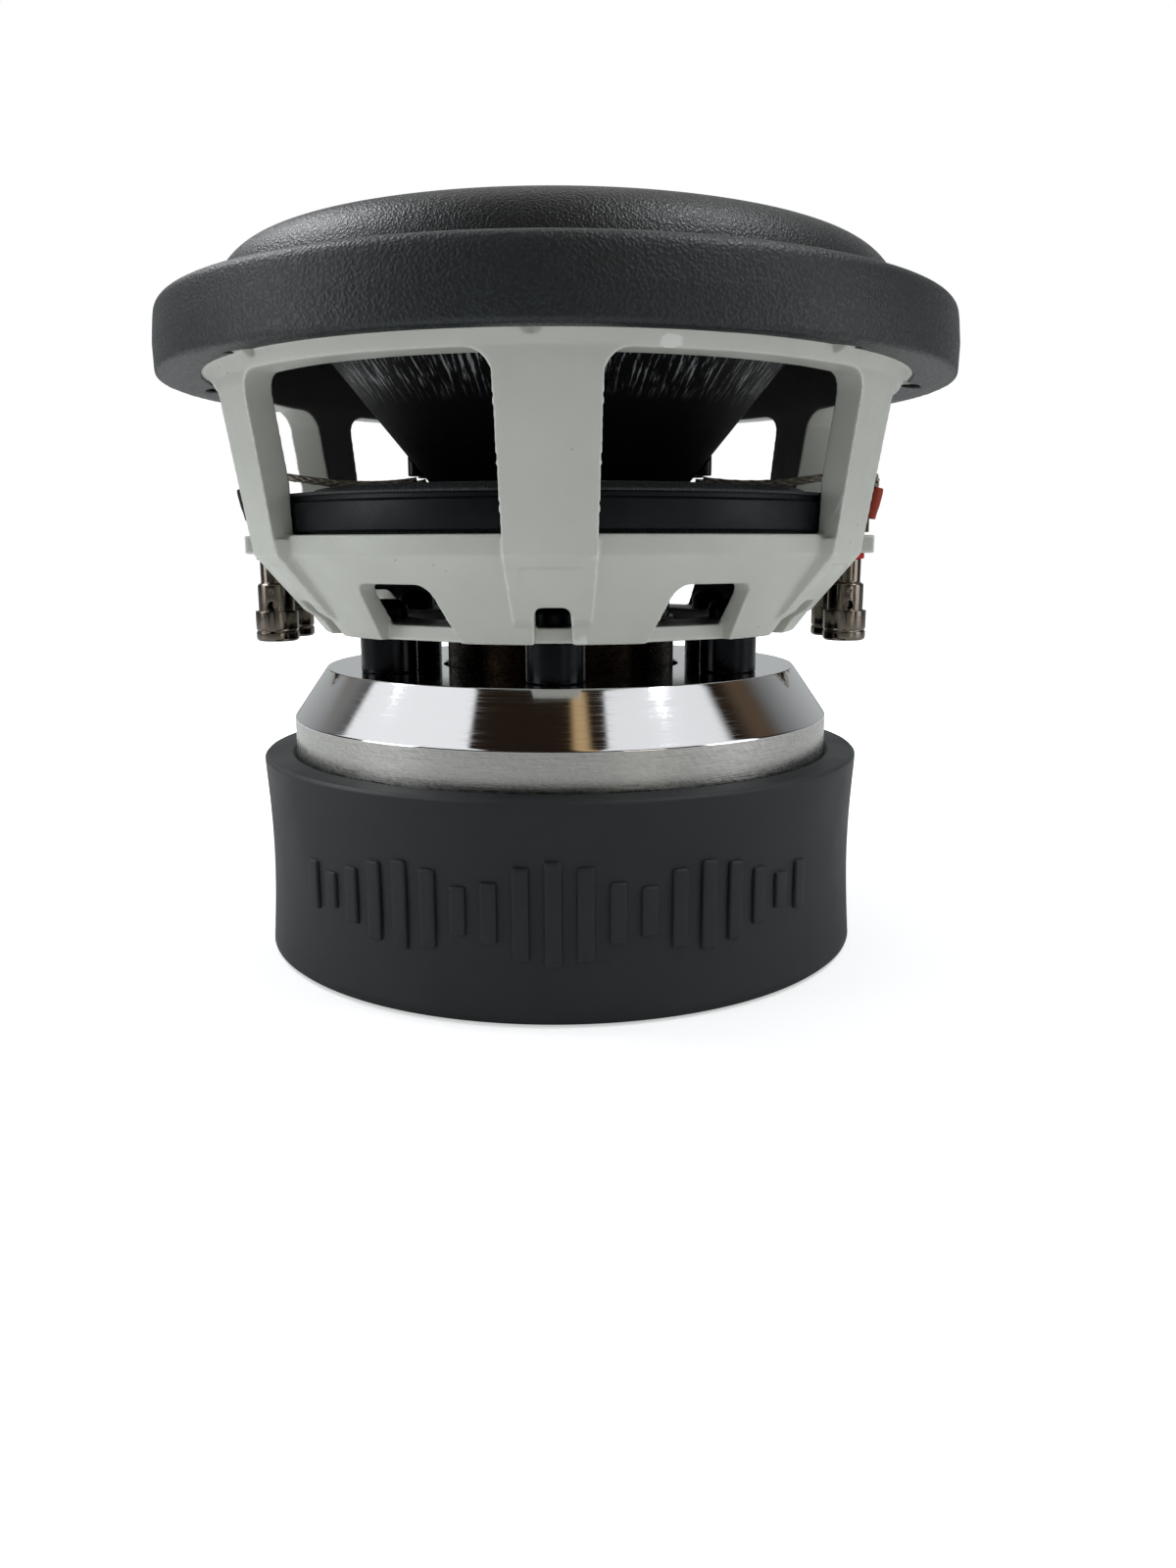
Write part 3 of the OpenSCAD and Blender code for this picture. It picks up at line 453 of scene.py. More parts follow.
def ease(points, cut, steps=3):
    """Rounds an outline's corners by that many millimetres; a corner's third number is its own."""
    outline = []
    for i, point in enumerate(points):
        corner = Vector(point[:2])
        size = point[2] if len(point) > 2 else cut
        before = Vector(points[i - 1][:2]) - corner
        after = Vector(points[(i + 1) % len(points)][:2]) - corner
        size = min(size, before.length * 0.4, after.length * 0.4)
        if size < 0.01:
            outline.append(corner)
            continue
        before, after = before.normalized() * size, after.normalized() * size
        outline.append(corner + before * 1.2)
        for k in range(steps + 1):
            t = k / steps
            outline.append(corner + before * (1 - t) ** 2 + after * t * t)
        outline.append(corner + after * 1.2)
    return outline


def solid(name, vertices, faces, material, merge=1e-7):
    """A smooth-shaded piece from points in millimetres, merged, with its faces pointing outwards."""
    mesh = bpy.data.meshes.new(name)
    mesh.from_pydata([tuple(c * MM for c in v) for v in vertices], [], faces)
    work = bmesh.new()
    work.from_mesh(mesh)
    bmesh.ops.remove_doubles(work, verts=work.verts, dist=merge)
    bmesh.ops.recalc_face_normals(work, faces=work.faces)
    work.to_mesh(mesh)
    work.free()
    mesh.materials.append(material)
    mesh.shade_smooth()
    obj = bpy.data.objects.new(name, mesh)
    bpy.context.scene.collection.objects.link(obj)
    return obj


def turned(name, outline, material, segments=192, at=(0.0, 0.0)):
    """A piece turned on a lathe from a closed outline of radius and height, in millimetres."""
    count = len(outline)
    vertices = [(at[0] + r * math.cos(TAU * s / segments), at[1] + r * math.sin(TAU * s / segments), z)
                for s in range(segments) for r, z in outline]
    faces = []
    for s in range(segments):
        here, there = s * count, (s + 1) % segments * count
        for k in range(count):
            up = (k + 1) % count
            if outline[k][0] > 1e-6 or outline[up][0] > 1e-6:
                faces.append((here + k, there + k, there + up, here + up))
    return solid(name, vertices, faces, material)


def bake(obj):
    """Turns a piece's modifiers into plain mesh and takes them off."""
    bpy.context.view_layer.update()
    graph = bpy.context.evaluated_depsgraph_get()
    mesh = bpy.data.meshes.new_from_object(obj.evaluated_get(graph), depsgraph=graph)
    old = obj.data
    obj.modifiers.clear()
    obj.data = mesh
    bpy.data.meshes.remove(old)
    mesh.name = obj.name
    return obj


def copy_of(name, node, material):
    """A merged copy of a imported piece's mesh."""
    mesh = bpy.data.objects[node].data.copy()
    work = bmesh.new()
    work.from_mesh(mesh)
    bmesh.ops.remove_doubles(work, verts=work.verts, dist=2e-6)
    bmesh.ops.dissolve_degenerate(work, edges=work.edges, dist=1e-7)
    work.to_mesh(mesh)
    work.free()
    mesh.materials.clear()
    mesh.materials.append(material)
    obj = bpy.data.objects.new(name, mesh)
    bpy.context.scene.collection.objects.link(obj)
    return obj


def softened(name, node, material, voxel, passes, most):
    """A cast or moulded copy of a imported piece: its sharp edges melt into small radii."""
    obj = copy_of(name, node, material)
    remesh = obj.modifiers.new("Remesh", "REMESH")
    remesh.mode = "VOXEL"
    remesh.voxel_size = voxel * MM
    # Back onto the exact surface first, so that no voxel steps are left along a slanted edge
    wrap = obj.modifiers.new("Wrap", "SHRINKWRAP")
    wrap.wrap_method = "NEAREST_SURFACEPOINT"
    wrap.target = bpy.data.objects[node]
    smooth = obj.modifiers.new("Smooth", "SMOOTH")
    smooth.factor = 0.5
    smooth.iterations = passes
    bake(obj)
    triangles = sum(len(face.vertices) - 2 for face in obj.data.polygons)
    if triangles > most:
        thin = obj.modifiers.new("Thin", "DECIMATE")
        thin.ratio = most / triangles
        bake(obj)
    obj.data.materials.clear()
    obj.data.materials.append(material)
    obj.data.shade_smooth()
    return obj


def crisp(name, node, material, width, angle=30):
    """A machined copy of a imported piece: flat faces stay flat, and edges get a small bevel."""
    obj = copy_of(name, node, material)
    bevel = obj.modifiers.new("Bevel", "BEVEL")
    bevel.width = width * MM
    bevel.segments = 2
    bevel.limit_method = "ANGLE"
    bevel.angle_limit = math.radians(angle)
    bevel.use_clamp_overlap = True
    bake(obj)
    obj.data.shade_smooth()
    obj.data.set_sharp_from_angle(angle=math.radians(angle))
    return obj


def joined(name, pieces):
    """Several pieces made into one, under that name."""
    work = bmesh.new()
    for piece in pieces:
        work.from_mesh(piece.data)
    material = pieces[0].data.materials[0]
    for piece in pieces:
        mesh = piece.data
        bpy.data.objects.remove(piece)
        bpy.data.meshes.remove(mesh)
    mesh = bpy.data.meshes.new(name)
    work.to_mesh(mesh)
    work.free()
    mesh.materials.append(material)
    mesh.shade_smooth()
    obj = bpy.data.objects.new(name, mesh)
    bpy.context.scene.collection.objects.link(obj)
    return obj


def moved(obj, matrix):
    """Moves a piece's mesh by a matrix whose places are in millimetres."""
    matrix = matrix.copy()
    matrix.translation *= MM
    obj.data.transform(matrix)
    return obj


def copies_tree():
    """The node tree that repeats a piece: each copy turned and raised by one step more."""
    made = bpy.data.node_groups.get("Repeat round the axis")
    if made:
        return made
    tree = bpy.data.node_groups.new("Repeat round the axis", "GeometryNodeTree")
    faces = tree.interface
    faces.new_socket("Geometry", in_out="INPUT", socket_type="NodeSocketGeometry")
    faces.new_socket("Copies", in_out="INPUT", socket_type="NodeSocketInt")
    faces.new_socket("Turn", in_out="INPUT", socket_type="NodeSocketFloat")
    faces.new_socket("Rise", in_out="INPUT", socket_type="NodeSocketFloat")
    faces.new_socket("Finish", in_out="INPUT", socket_type="NodeSocketMaterial")
    faces.new_socket("Geometry", in_out="OUTPUT", socket_type="NodeSocketGeometry")
    entry = add(tree, "NodeGroupInput").outputs
    whole = add(tree, "GeometryNodeGeometryToInstance", {0: entry["Geometry"]})
    many = add(tree, "GeometryNodeDuplicateElements", {"Geometry": whole.outputs[0],
               "Amount": entry["Copies"]}, domain="INSTANCE")
    angle = add(tree, "ShaderNodeMath", {0: many.outputs["Duplicate Index"], 1: entry["Turn"]},
                operation="MULTIPLY").outputs[0]
    angle = add(tree, "ShaderNodeCombineXYZ", {2: angle}).outputs[0]
    lift = add(tree, "ShaderNodeMath", {0: many.outputs["Duplicate Index"], 1: entry["Rise"]},
               operation="MULTIPLY").outputs[0]
    lift = add(tree, "ShaderNodeCombineXYZ", {2: lift}).outputs[0]
    spun = add(tree, "GeometryNodeRotateInstances", {"Instances": many.outputs[0], "Rotation": angle,
               "Local Space": False})
    raised = add(tree, "GeometryNodeTranslateInstances", {"Instances": spun.outputs[0],
                 "Translation": lift, "Local Space": False})
    real = add(tree, "GeometryNodeRealizeInstances", {0: raised.outputs[0]})
    dressed = add(tree, "GeometryNodeSetMaterial", {"Geometry": real.outputs[0],
                  "Material": entry["Finish"]})
    add(tree, "NodeGroupOutput", {0: dressed.outputs[0]})
    return tree


def repeated(obj, copies, turn=0.0, rise=0.0):
    """Repeats a piece round the axis, each copy turned by that angle and raised by that height."""
    tree = copies_tree()
    names = {item.name: item.identifier for item in tree.interface.items_tree if item.in_out == "INPUT"}
    material = obj.data.materials[0]
    modifier = obj.modifiers.new("Repeat", "NODES")
    modifier.node_group = tree
    modifier[names["Copies"]] = copies
    modifier[names["Turn"]] = turn
    modifier[names["Rise"]] = rise * MM
    modifier[names["Finish"]] = material
    bake(obj)
    if not obj.data.materials:
        obj.data.materials.append(material)
    return obj


def swept(points, radius, sides=8, swing=None):
    """Vertices and faces of a round strand along points in millimetres; swing moves it off them."""
    points = [Vector(p) for p in points]
    side = None
    vertices, faces = [], []
    for i, point in enumerate(points):
        ahead = (points[min(i + 1, len(points) - 1)] - points[max(i - 1, 0)]).normalized()
        if side is None:
            side = ahead.cross(Vector((0.3, 1.0, 0.1))).normalized()
        side = (side - ahead * side.dot(ahead)).normalized()
        other = ahead.cross(side)
        shift = Vector((0, 0, 0))
        if swing:
            out, angle = swing(i)
            shift = (side * math.cos(angle) + other * math.sin(angle)) * out
        for k in range(sides):
            a = TAU * k / sides
            vertices.append(point + shift + (side * math.cos(a) + other * math.sin(a)) * radius)
    for i in range(len(points) - 1):
        for k in range(sides):
            n = (k + 1) % sides
            faces.append((i * sides + k, i * sides + n, (i + 1) * sides + n, (i + 1) * sides + k))
    last = (len(points) - 1) * sides
    faces.append(tuple(reversed(range(sides))))
    faces.append(tuple(range(last, last + sides)))
    return vertices, faces


def gathered(name, parts, material):
    """One piece from several lists of vertices and faces."""
    vertices, faces = [], []
    for some, shapes in parts:
        faces += [tuple(i + len(vertices) for i in shape) for shape in shapes]
        vertices += some
    return solid(name, vertices, faces, material)


def settled(obj, body, slot, *nodes):
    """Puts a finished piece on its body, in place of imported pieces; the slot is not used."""
    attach(obj, body)
    if nodes:
        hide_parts(*nodes)
    return obj


def flexed(obj, slot, outer, inner, *nodes):
    """Bakes a ring's placement, works out by distance from the axis how far each point lies between its
    clamped edge and the cone, and hides the imported pieces; the share isn't kept, and the slot is not used.
    """
    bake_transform(obj)
    places = np.empty(len(obj.data.vertices) * 3)
    obj.data.vertices.foreach_get("co", places)
    places = places.reshape(-1, 3)
    share = (outer * MM - np.hypot(places[:, 0], places[:, 1])) / ((outer - inner) * MM)
    share = np.clip(share, 0, 1)
    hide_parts(*nodes)
    return obj


# ---------------------------------------------------------------- sizes and colours to change


class SpeakerSizes(bpy.types.PropertyGroup):
    """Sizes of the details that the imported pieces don't carry."""

    frame_grain: FloatProperty(
        name="Casting grid", description="Grid on which the casting is rebuilt; its radii follow it",
        default=0.38 * MM, min=0.3 * MM, max=1.2 * MM, unit="LENGTH")
    pebble: FloatProperty(
        name="Trim ring grain", description="Size of one pebble of the trim ring's grain",
        default=0.7 * MM, min=0.3 * MM, max=2 * MM, unit="LENGTH")
    surround_pebble: FloatProperty(
        name="Surround grain", description="Size of one pebble of the surround's grain",
        default=0.55 * MM, min=0.4 * MM, max=2.5 * MM, unit="LENGTH")
    wire: FloatProperty(
        name="Winding pitch", description="Height of one turn of the voice coil's wire",
        default=0.5 * MM, min=0.3 * MM, max=1 * MM, unit="LENGTH")
    bars: IntProperty(
        name="Level bars", description="Number of raised bars across the boot's front",
        default=19, min=5, max=31)
    braid_turns: FloatProperty(
        name="Braid turns", description="Turns of each strand along a lead",
        default=5.0, min=2.0, max=9.0)


class SpeakerFinish(bpy.types.PropertyGroup):
    """Colours of the main finishes."""

    paint: FloatVectorProperty(
        name="Frame paint", description="Colour of the frame's powder coat", subtype="COLOR",
        size=4, min=0, max=1, default=(*linear("d0d2c9"), 1))
    paint_shade: FloatVectorProperty(
        name="Frame paint, thin", description="Colour where the powder coat lies thinner",
        subtype="COLOR", size=4, min=0, max=1, default=(*linear("c5c7bd"), 1))
    boot: FloatVectorProperty(
        name="Boot rubber", description="Colour of the magnet boot", subtype="COLOR",
        size=4, min=0, max=1, default=(*linear("101416"), 1))
    ring: FloatVectorProperty(
        name="Trim ring rubber", description="Colour of the trim ring", subtype="COLOR",
        size=4, min=0, max=1, default=(*linear("13181a"), 1))
    roll: FloatVectorProperty(
        name="Surround rubber", description="Colour of the surround", subtype="COLOR",
        size=4, min=0, max=1, default=(*linear("101213"), 1))


# ---------------------------------------------------------------- one operator for each group


class SPEAKER_OT_stage(bpy.types.Operator):
    """Sets the camera, the pale floor and the soft studio light"""

    bl_idname = "speaker.stage"
    bl_label = "Studio and camera"

    def execute(self, context):
        scene = context.scene
        # The lens stands level with the spider, a touch to the right of the front spoke
        yaw, pitch, roll = 0.0225, 0.2005, 0.0019
        level = Vector((math.sin(yaw), math.cos(yaw), 0))
        right = Vector((math.cos(yaw), -math.sin(yaw), 0))
        up = level * math.sin(pitch) + Vector((0, 0, math.cos(pitch)))
        forward = level * math.cos(pitch) - Vector((0, 0, math.sin(pitch)))
        right, up = (right * math.cos(roll) - up * math.sin(roll),
                     right * math.sin(roll) + up * math.cos(roll))
        turn = Matrix.Rotation(math.radians(1.5), 4, "Z")
        pose = Matrix((right, up, -forward)).transposed().to_4x4()
        pose.translation = Vector((0, -351.5 * MM, 113 * MM))
        data = bpy.data.cameras.new("camera")
        data.lens, data.sensor_width = 27.27, 36.0
        data.clip_start, data.clip_end = 0.02, 40
        camera = bpy.data.objects.new("camera", data)
        camera.matrix_world = turn @ pose
        scene.collection.objects.link(camera)
        scene.camera = camera
        scene.view_settings.view_transform = "Standard"
        self.floor()
        self.world(scene)
        # name, azimuth and height of the light seen from the speaker, distance, size, watts, tint
        for name, azimuth, height, distance, size, watts, tint in (
                ("left window", -112, 48, 1.25, (0.62, 0.42), 7, "f4f7fb"),
                ("right window", 77, 60, 1.25, (0.42, 0.36), 5, "f4f7fb"),
                ("left side", -72, 10, 1.3, (0.6, 0.5), 3.4, "f4f7fb"),
                ("right side", 74, 8, 1.3, (0.6, 0.5), 2.6, "f4f7fb"),
                ("overhead", 170, 70, 1.5, (1.2, 1.2), 3.0, "fffdf8"),
                ("front fill", 34, -14, 1.6, (0.5, 0.9), 3.2, "fffaf0")):
            self.light(scene, name, azimuth, height, distance, size, watts, tint)
        return {"FINISHED"}

    def light(self, scene, name, azimuth, height, distance, size, watts, tint):
        data = bpy.data.lights.new(name, "AREA")
        data.shape, data.size, data.size_y = "RECTANGLE", size[0], size[1]
        data.energy, data.color = watts, linear(tint)
        obj = bpy.data.objects.new(name, data)
        a, h = math.radians(azimuth - 90), math.radians(height)
        way = Vector((math.cos(a) * math.cos(h), math.sin(a) * math.cos(h), math.sin(h)))
        target = Vector((0, 0, 0.09))
        obj.location = target + way * distance
        obj.rotation_euler = way.to_track_quat("Z", "Y").to_euler()
        scene.collection.objects.link(obj)

    def floor(self):
        material, tree, shader, place = start("pale seamless paper")
        fibre = add(tree, "ShaderNodeTexNoise", {"Vector": place, "Scale": 1 / 25, "Detail": 3.0})
        colour = add(tree, "ShaderNodeMix", {0: fibre.outputs[0], 6: linear("f4f4f3"),
                                             7: linear("fbfbfa")}, data_type="RGBA")
        fill(tree, shader, {"Base Color": colour.outputs[2], "Roughness": 0.9,
                            "Specular IOR Level": 0.1})
        # The paper glows to the eye only, so it stays white while the speaker's light is dim
        out = add(tree, "ShaderNodeVectorMath", {0: place}, operation="LENGTH").outputs["Value"]
        glow = add(tree, "ShaderNodeMapRange",
                   {0: out, 1: 110.0, 2: 420.0, 3: 0.5, 4: 1.0},
                   interpolation_type="SMOOTHSTEP").outputs[0]
        seen = add(tree, "ShaderNodeLightPath").outputs["Is Camera Ray"]
        glow = add(tree, "ShaderNodeMath", {0: glow, 1: seen}, operation="MULTIPLY").outputs[0]
        fill(tree, shader, {"Emission Color": (1, 1, 1, 1), "Emission Strength": glow})
        outline = [(r, -0.3 - (r / 2600) ** 2) for r in (0, 60, 150, 400, 900, 1800, 4000)]
        outline += [(4000, -20), (0, -20)]
        floor = turned("studio_floor", outline, material, 96)

    def world(self, scene):
        world = bpy.data.worlds.new("studio")
        world.use_nodes = True
        tree = world.node_tree
        tree.nodes.clear()
        way = add(tree, "ShaderNodeTexCoord").outputs["Generated"]
        parts = add(tree, "ShaderNodeSeparateXYZ", {0: way}).outputs
        # The room is dim and brown in front and above, and grey behind and low down
        back = add(tree, "ShaderNodeMapRange",
                   {0: parts[1], 1: 0.1, 2: 0.95, 3: 0.0, 4: 1.0},
                   interpolation_type="SMOOTHSTEP").outputs[0]
        room = add(tree, "ShaderNodeMix", {0: back, 6: linear("241b14"), 7: linear("b4b7b8")},
                   data_type="RGBA")
        # Tall panels that the mirror of the top plate picks up: azimuth from and to, softness of
        # their sides, how far off the axis they start, how bright they are, colour
        across = add(tree, "ShaderNodeMath", {0: parts[0]}, operation="ABSOLUTE").outputs[0]
        azimuth = add(tree, "ShaderNodeMath", {0: parts[0], 1: parts[1]}, operation="ARCTAN2").outputs[0]
        high = add(tree, "ShaderNodeMapRange",
                   {0: parts[2], 1: 0.28, 2: 0.4, 3: 0.0, 4: 1.0},
                   interpolation_type="SMOOTHSTEP").outputs[0]
        for first, last, soft, least, power, tint in (
                (-176, -68, 2, 0.47, 1.15, "f6f8fa"), (-54, -40, 6, 0, 1, "6b5a48"),
                (88, 176, 3, 0.26, 1.1, "f2f4f6"), (66, 78, 6, 0, 1, "5a4a3a"),
                (161, 171, 3, 0, 1, "c2a57a")):
            on, off = math.radians(first), math.radians(last)
            edge = math.radians(soft)
            rise = add(tree, "ShaderNodeMapRange",
                       {0: azimuth, 1: on - edge, 2: on + edge, 3: 0.0, 4: 1.0},
                       interpolation_type="SMOOTHSTEP").outputs[0]
            fall = add(tree, "ShaderNodeMapRange",
                       {0: azimuth, 1: off - edge, 2: off + edge, 3: 1.0, 4: 0.0},
                       interpolation_type="SMOOTHSTEP").outputs[0]
            lit = add(tree, "ShaderNodeMath", {0: rise, 1: fall}, operation="MULTIPLY").outputs[0]
            away = add(tree, "ShaderNodeMapRange",
                       {0: across, 1: least - 0.015, 2: least + 0.015, 3: 0.0, 4: 1.0},
                       interpolation_type="SMOOTHSTEP").outputs[0] if least else high
            lit = add(tree, "ShaderNodeMath", {0: lit, 1: away}, operation="MULTIPLY").outputs[0]
            lit = add(tree, "ShaderNodeMath", {0: lit, 1: high}, operation="MULTIPLY").outputs[0]
            bright = tuple(power * share for share in linear(tint))
            room = add(tree, "ShaderNodeMix", {0: lit, 6: room.outputs[2], 7: bright},
                       data_type="RGBA")
        paths = add(tree, "ShaderNodeLightPath").outputs
        gloss = add(tree, "ShaderNodeMix", {0: paths["Is Glossy Ray"], 6: linear("86888a"),
                                            7: room.outputs[2]}, data_type="RGBA")
        seen = add(tree, "ShaderNodeMix", {0: paths["Is Camera Ray"], 6: gloss.outputs[2],
                                           7: (1.0, 1.0, 1.0)}, data_type="RGBA")
        sky = add(tree, "ShaderNodeBackground", {"Color": seen.outputs[2], "Strength": 1.0})
        add(tree, "ShaderNodeOutputWorld", {0: sky.outputs[0]})
        scene.world = world


class SPEAKER_OT_frame(bpy.types.Operator):
    """Casts the painted basket with its softly rounded spokes and windows"""

    bl_idname = "speaker.frame"
    bl_label = "Basket casting"

    def execute(self, context):
        sizes = context.scene.speaker_sizes
        paint = powder_paint()
        casting = softened("basket_casting", "basket", paint, sizes.frame_grain / MM, 9, 190000)
        settled(casting, "chassis", "frame_paint", "basket")
        return {"FINISHED"}


class SPEAKER_OT_trim(bpy.types.Operator):
    """Moulds the pebbled rubber trim ring"""

    bl_idname = "speaker.trim"
    bl_label = "Trim ring"

    def execute(self, context):
        colours, sizes = context.scene.speaker_finish, context.scene.speaker_sizes
        rubber = moulded_rubber("pebbled moulded rubber", colours.ring, (*linear("31383a"), 1),
                                sizes.pebble / MM, 0.11, 0.5, 0.14)
        ring = softened("trim_ring_rubber", "trim_ring", rubber, 0.7, 5, 120000)
        settled(ring, "chassis", "trim_rubber", "trim_ring")
        return {"FINISHED"}


class SPEAKER_OT_suspension(bpy.types.Operator):
    """Makes the surround's tall roll, the two waved spiders and the ring between them"""

    bl_idname = "speaker.suspension"
    bl_label = "Surround and spiders"

    def execute(self, context):
        self.surround(context)
        outer, inner = 74.0, COIL_R + 4.2
        cloth = treated_cloth()
        for name, low in (("spider_lower", SILL_Z), ("spider_upper", SPACER_HIGH.z)):
            steps = 100
            run = [inner + (outer - inner) * i / steps for i in range(steps + 1)]
            wave = [low + 1.9 * math.sin(TAU * 5 * i / steps) for i in range(steps + 1)]
            upper = [(r, z + 0.7) for r, z in zip(run, wave)]
            edge = SPACER_HIGH.y if name == "spider_upper" else 78.1
            outline = [(COIL_R + 0.2, low)] + list(zip(run, wave)) + [(edge - 0.1, low)]
            outline += [(edge - 0.1, low + 0.7)] + upper[::-1] + [(COIL_R + 0.2, low + 0.7)]
            piece = turned(name + "_cloth", outline, cloth, 160)
            flexed(piece, "spider_cloth", 74.5, COIL_R + 3, name)
        spacer = crisp("spider_spacer_ring", "spider_spacer", finish("moulded black nylon"), 0.3, 25)
        settled(spacer, "chassis", "black_plastic", "spider_spacer")
        return {"FINISHED"}

    def surround(self, context):
        colours, sizes = context.scene.speaker_finish, context.scene.speaker_sizes
        rubber = moulded_rubber("coarse grained surround rubber", colours.roll, (*linear("2b2f31"), 1),
                                sizes.surround_pebble / MM, 0.1, 0.44, 0.2)
        low, high = SURROUND_Z + 1.2, SURROUND_Z + 2.8
        middle, tilt = (low + high) / 2, (high - low) / 2

        def roll(side, angles):
            return [(ROLL_R + (ROLL_W + side) * math.cos(a),
                     middle - tilt * math.cos(a) + (ROLL_H + side) * math.sin(a)) for a in angles]

        half = SURROUND_T / 2
        angles = [math.pi * k / 40 for k in range(41)]
        outline = [(93.6, low - 1.2), (93.6, low)] + roll(half, angles[1:-1])
        outline += [(ROLL_R - ROLL_W - half - 0.5, high), (65.5, high), (65.5, high - 1)]
        outline += roll(-half, angles[-3:1:-1]) + [(92.0, low - 1.2)]
        piece = turned("surround_roll", outline, rubber, 224)
        flexed(piece, "surround_rubber", 93.0, 67.5, "surround")


class SPEAKER_OT_cone(bpy.types.Operator):
    """Makes the cone, its dust cap, the former, the winding, the collar and the glue"""

    bl_idname = "speaker.cone"
    bl_label = "Cone and voice coil"

    def execute(self, context):
        sizes = context.scene.speaker_sizes
        z, top, rim = CONE_LOW.z, CONE_HIGH.z, CONE_HIGH.x
        outline = ease([(FORMER_R, z, 0), (33.5, z), (rim - 1, top - 2.4), (rim, top, 0),
                        (rim - 4.6, top, 0), (rim - 5, top - 1.2), (33.5, z + 2.4, 1.5),
                        (FORMER_R, z + 2.4, 0)], 0.6)
        cone = turned("cone_shell", outline, pressed_fibre(), 224)
        settled(cone, "cone_assembly", "cone_pulp", "cone")
        self.dust_cap()
        former = turned("coil_former_tube", [(31.4, COIL_LOW.z - 4), (FORMER_R, COIL_LOW.z - 4),
                                             (FORMER_R, z + 4), (31.4, z + 4)],
                        finish("black anodised foil"), 160)
        settled(former, "cone_assembly", "former_black", "coil_former")
        collar = turned("spider_collar", ease([(FORMER_R, SILL_Z - 2.4), (33.2, SILL_Z - 2.4),
                                               (33.2, z, 0.2), (FORMER_R, z)], 0.3),
                        finish("cured black adhesive"), 160)
        settled(collar, "cone_assembly", "black_plastic", "neck_collar")
        self.winding(sizes.wire / MM)
        glue = softened("lead_glue_drops", "lead_pads", finish("cured black adhesive"), 0.25, 6, 12000)
        settled(glue, "cone_assembly", "glue", "lead_pads")
        return {"FINISHED"}

    def dust_cap(self):
        edge, top = 43.0, span("dust_cap")[1].z
        low = top - 9
        slope = math.cos(math.radians(70))

        def bow(radius, lift):
            return [(radius * math.sin(math.radians(a)) / math.sin(math.radians(70)),
                     lift + 9 * (math.cos(math.radians(a)) - slope) / (1 - slope))
                    for a in range(0, 70, 2)]

        # A pressed bead runs round the cap 3 mm inside its edge
        upper = [(r, z + 0.5 * math.exp(-((r - 39.4) / 0.7) ** 2)) for r, z in bow(edge, low)]
        outline = upper + [(edge, low), (edge - 1.2, low - 0.9)] + bow(edge - 1.2, low - 1)[::-1]
        cap = turned("dust_cap_dome", outline, finish("satin moulded cap"), 160)
        settled(cap, "cone_assembly", "cap_rubber", "dust_cap")

    def winding(self, pitch):
        base = COIL_LOW.z
        turns = int((COIL_HIGH.z - base) / pitch)
        wire = [(COIL_R - 1.2, base), (COIL_R - 0.16, base + pitch * 0.06),
                (COIL_R, base + pitch * 0.3), (COIL_R, base + pitch * 0.7),
                (COIL_R - 0.16, base + pitch * 0.94), (COIL_R - 1.2, base + pitch)]
        coil = turned("winding_turns", wire, lacquered_wire(), 96)
        repeated(coil, turns, turn=0.013, rise=pitch)
        settled(coil, "cone_assembly", "winding_copper", "voice_coil")


class SPEAKER_OT_motor(bpy.types.Operator):
    """Turns the chromed top plate and the back plate, and finishes the magnets and the vent"""

    bl_idname = "speaker.motor"
    bl_label = "Motor"

    def execute(self, context):
        low, high, side = PLATE_LOW.z, PLATE_HIGH.z, PLATE_LOW.z + 13
        face, edge, bore = 67.5, PLATE_HIGH.x, 34.4
        outline = ease([(bore, low, 0.4), (edge, low, 0.5), (edge, side, 0.35),
                        (face + 0.5, high - 0.7, 0.35), (face, high, 0.2), (bore, high, 0.5)], 0.3, 4)
        plate = turned("top_plate_chrome", outline, turned_chrome(), 320)
        plate.data.materials.append(brushed_chrome())
        for flat in plate.data.polygons:
            if flat.center.z < (side - 0.3) * MM:
                flat.material_index = 1
        settled(plate, "chassis", "plate_chrome", "top_plate")
        back, foot = span("back_plate")[0].z, 12.0
        core = ease([(16, back), (76, back, 1), (77, back + 1, 0.4), (77, back + foot, 0.4),
                     (34.2, back + foot), (30.2, back + foot + 4), (30.2, high + 0.2),
                     (29, high + 1.4), (15, high + 1.4), (12, high - 1.6), (12, back + 6)], 0.3)
        core = turned("back_plate_core", core, finish("black zinc plated steel"), 160)
        settled(core, "chassis", "black_zinc", "back_plate")
        for node, name in (("magnet_upper", "sintered ferrite"), ("magnet_lower", "sintered ferrite"),
                           ("pole_sleeve", "plain copper"), ("vent_screen", "pressed steel screen")):
            mesh = bpy.data.objects[node].data
            mesh.materials.clear()
            mesh.materials.append(finish(name))
        return {"FINISHED"}


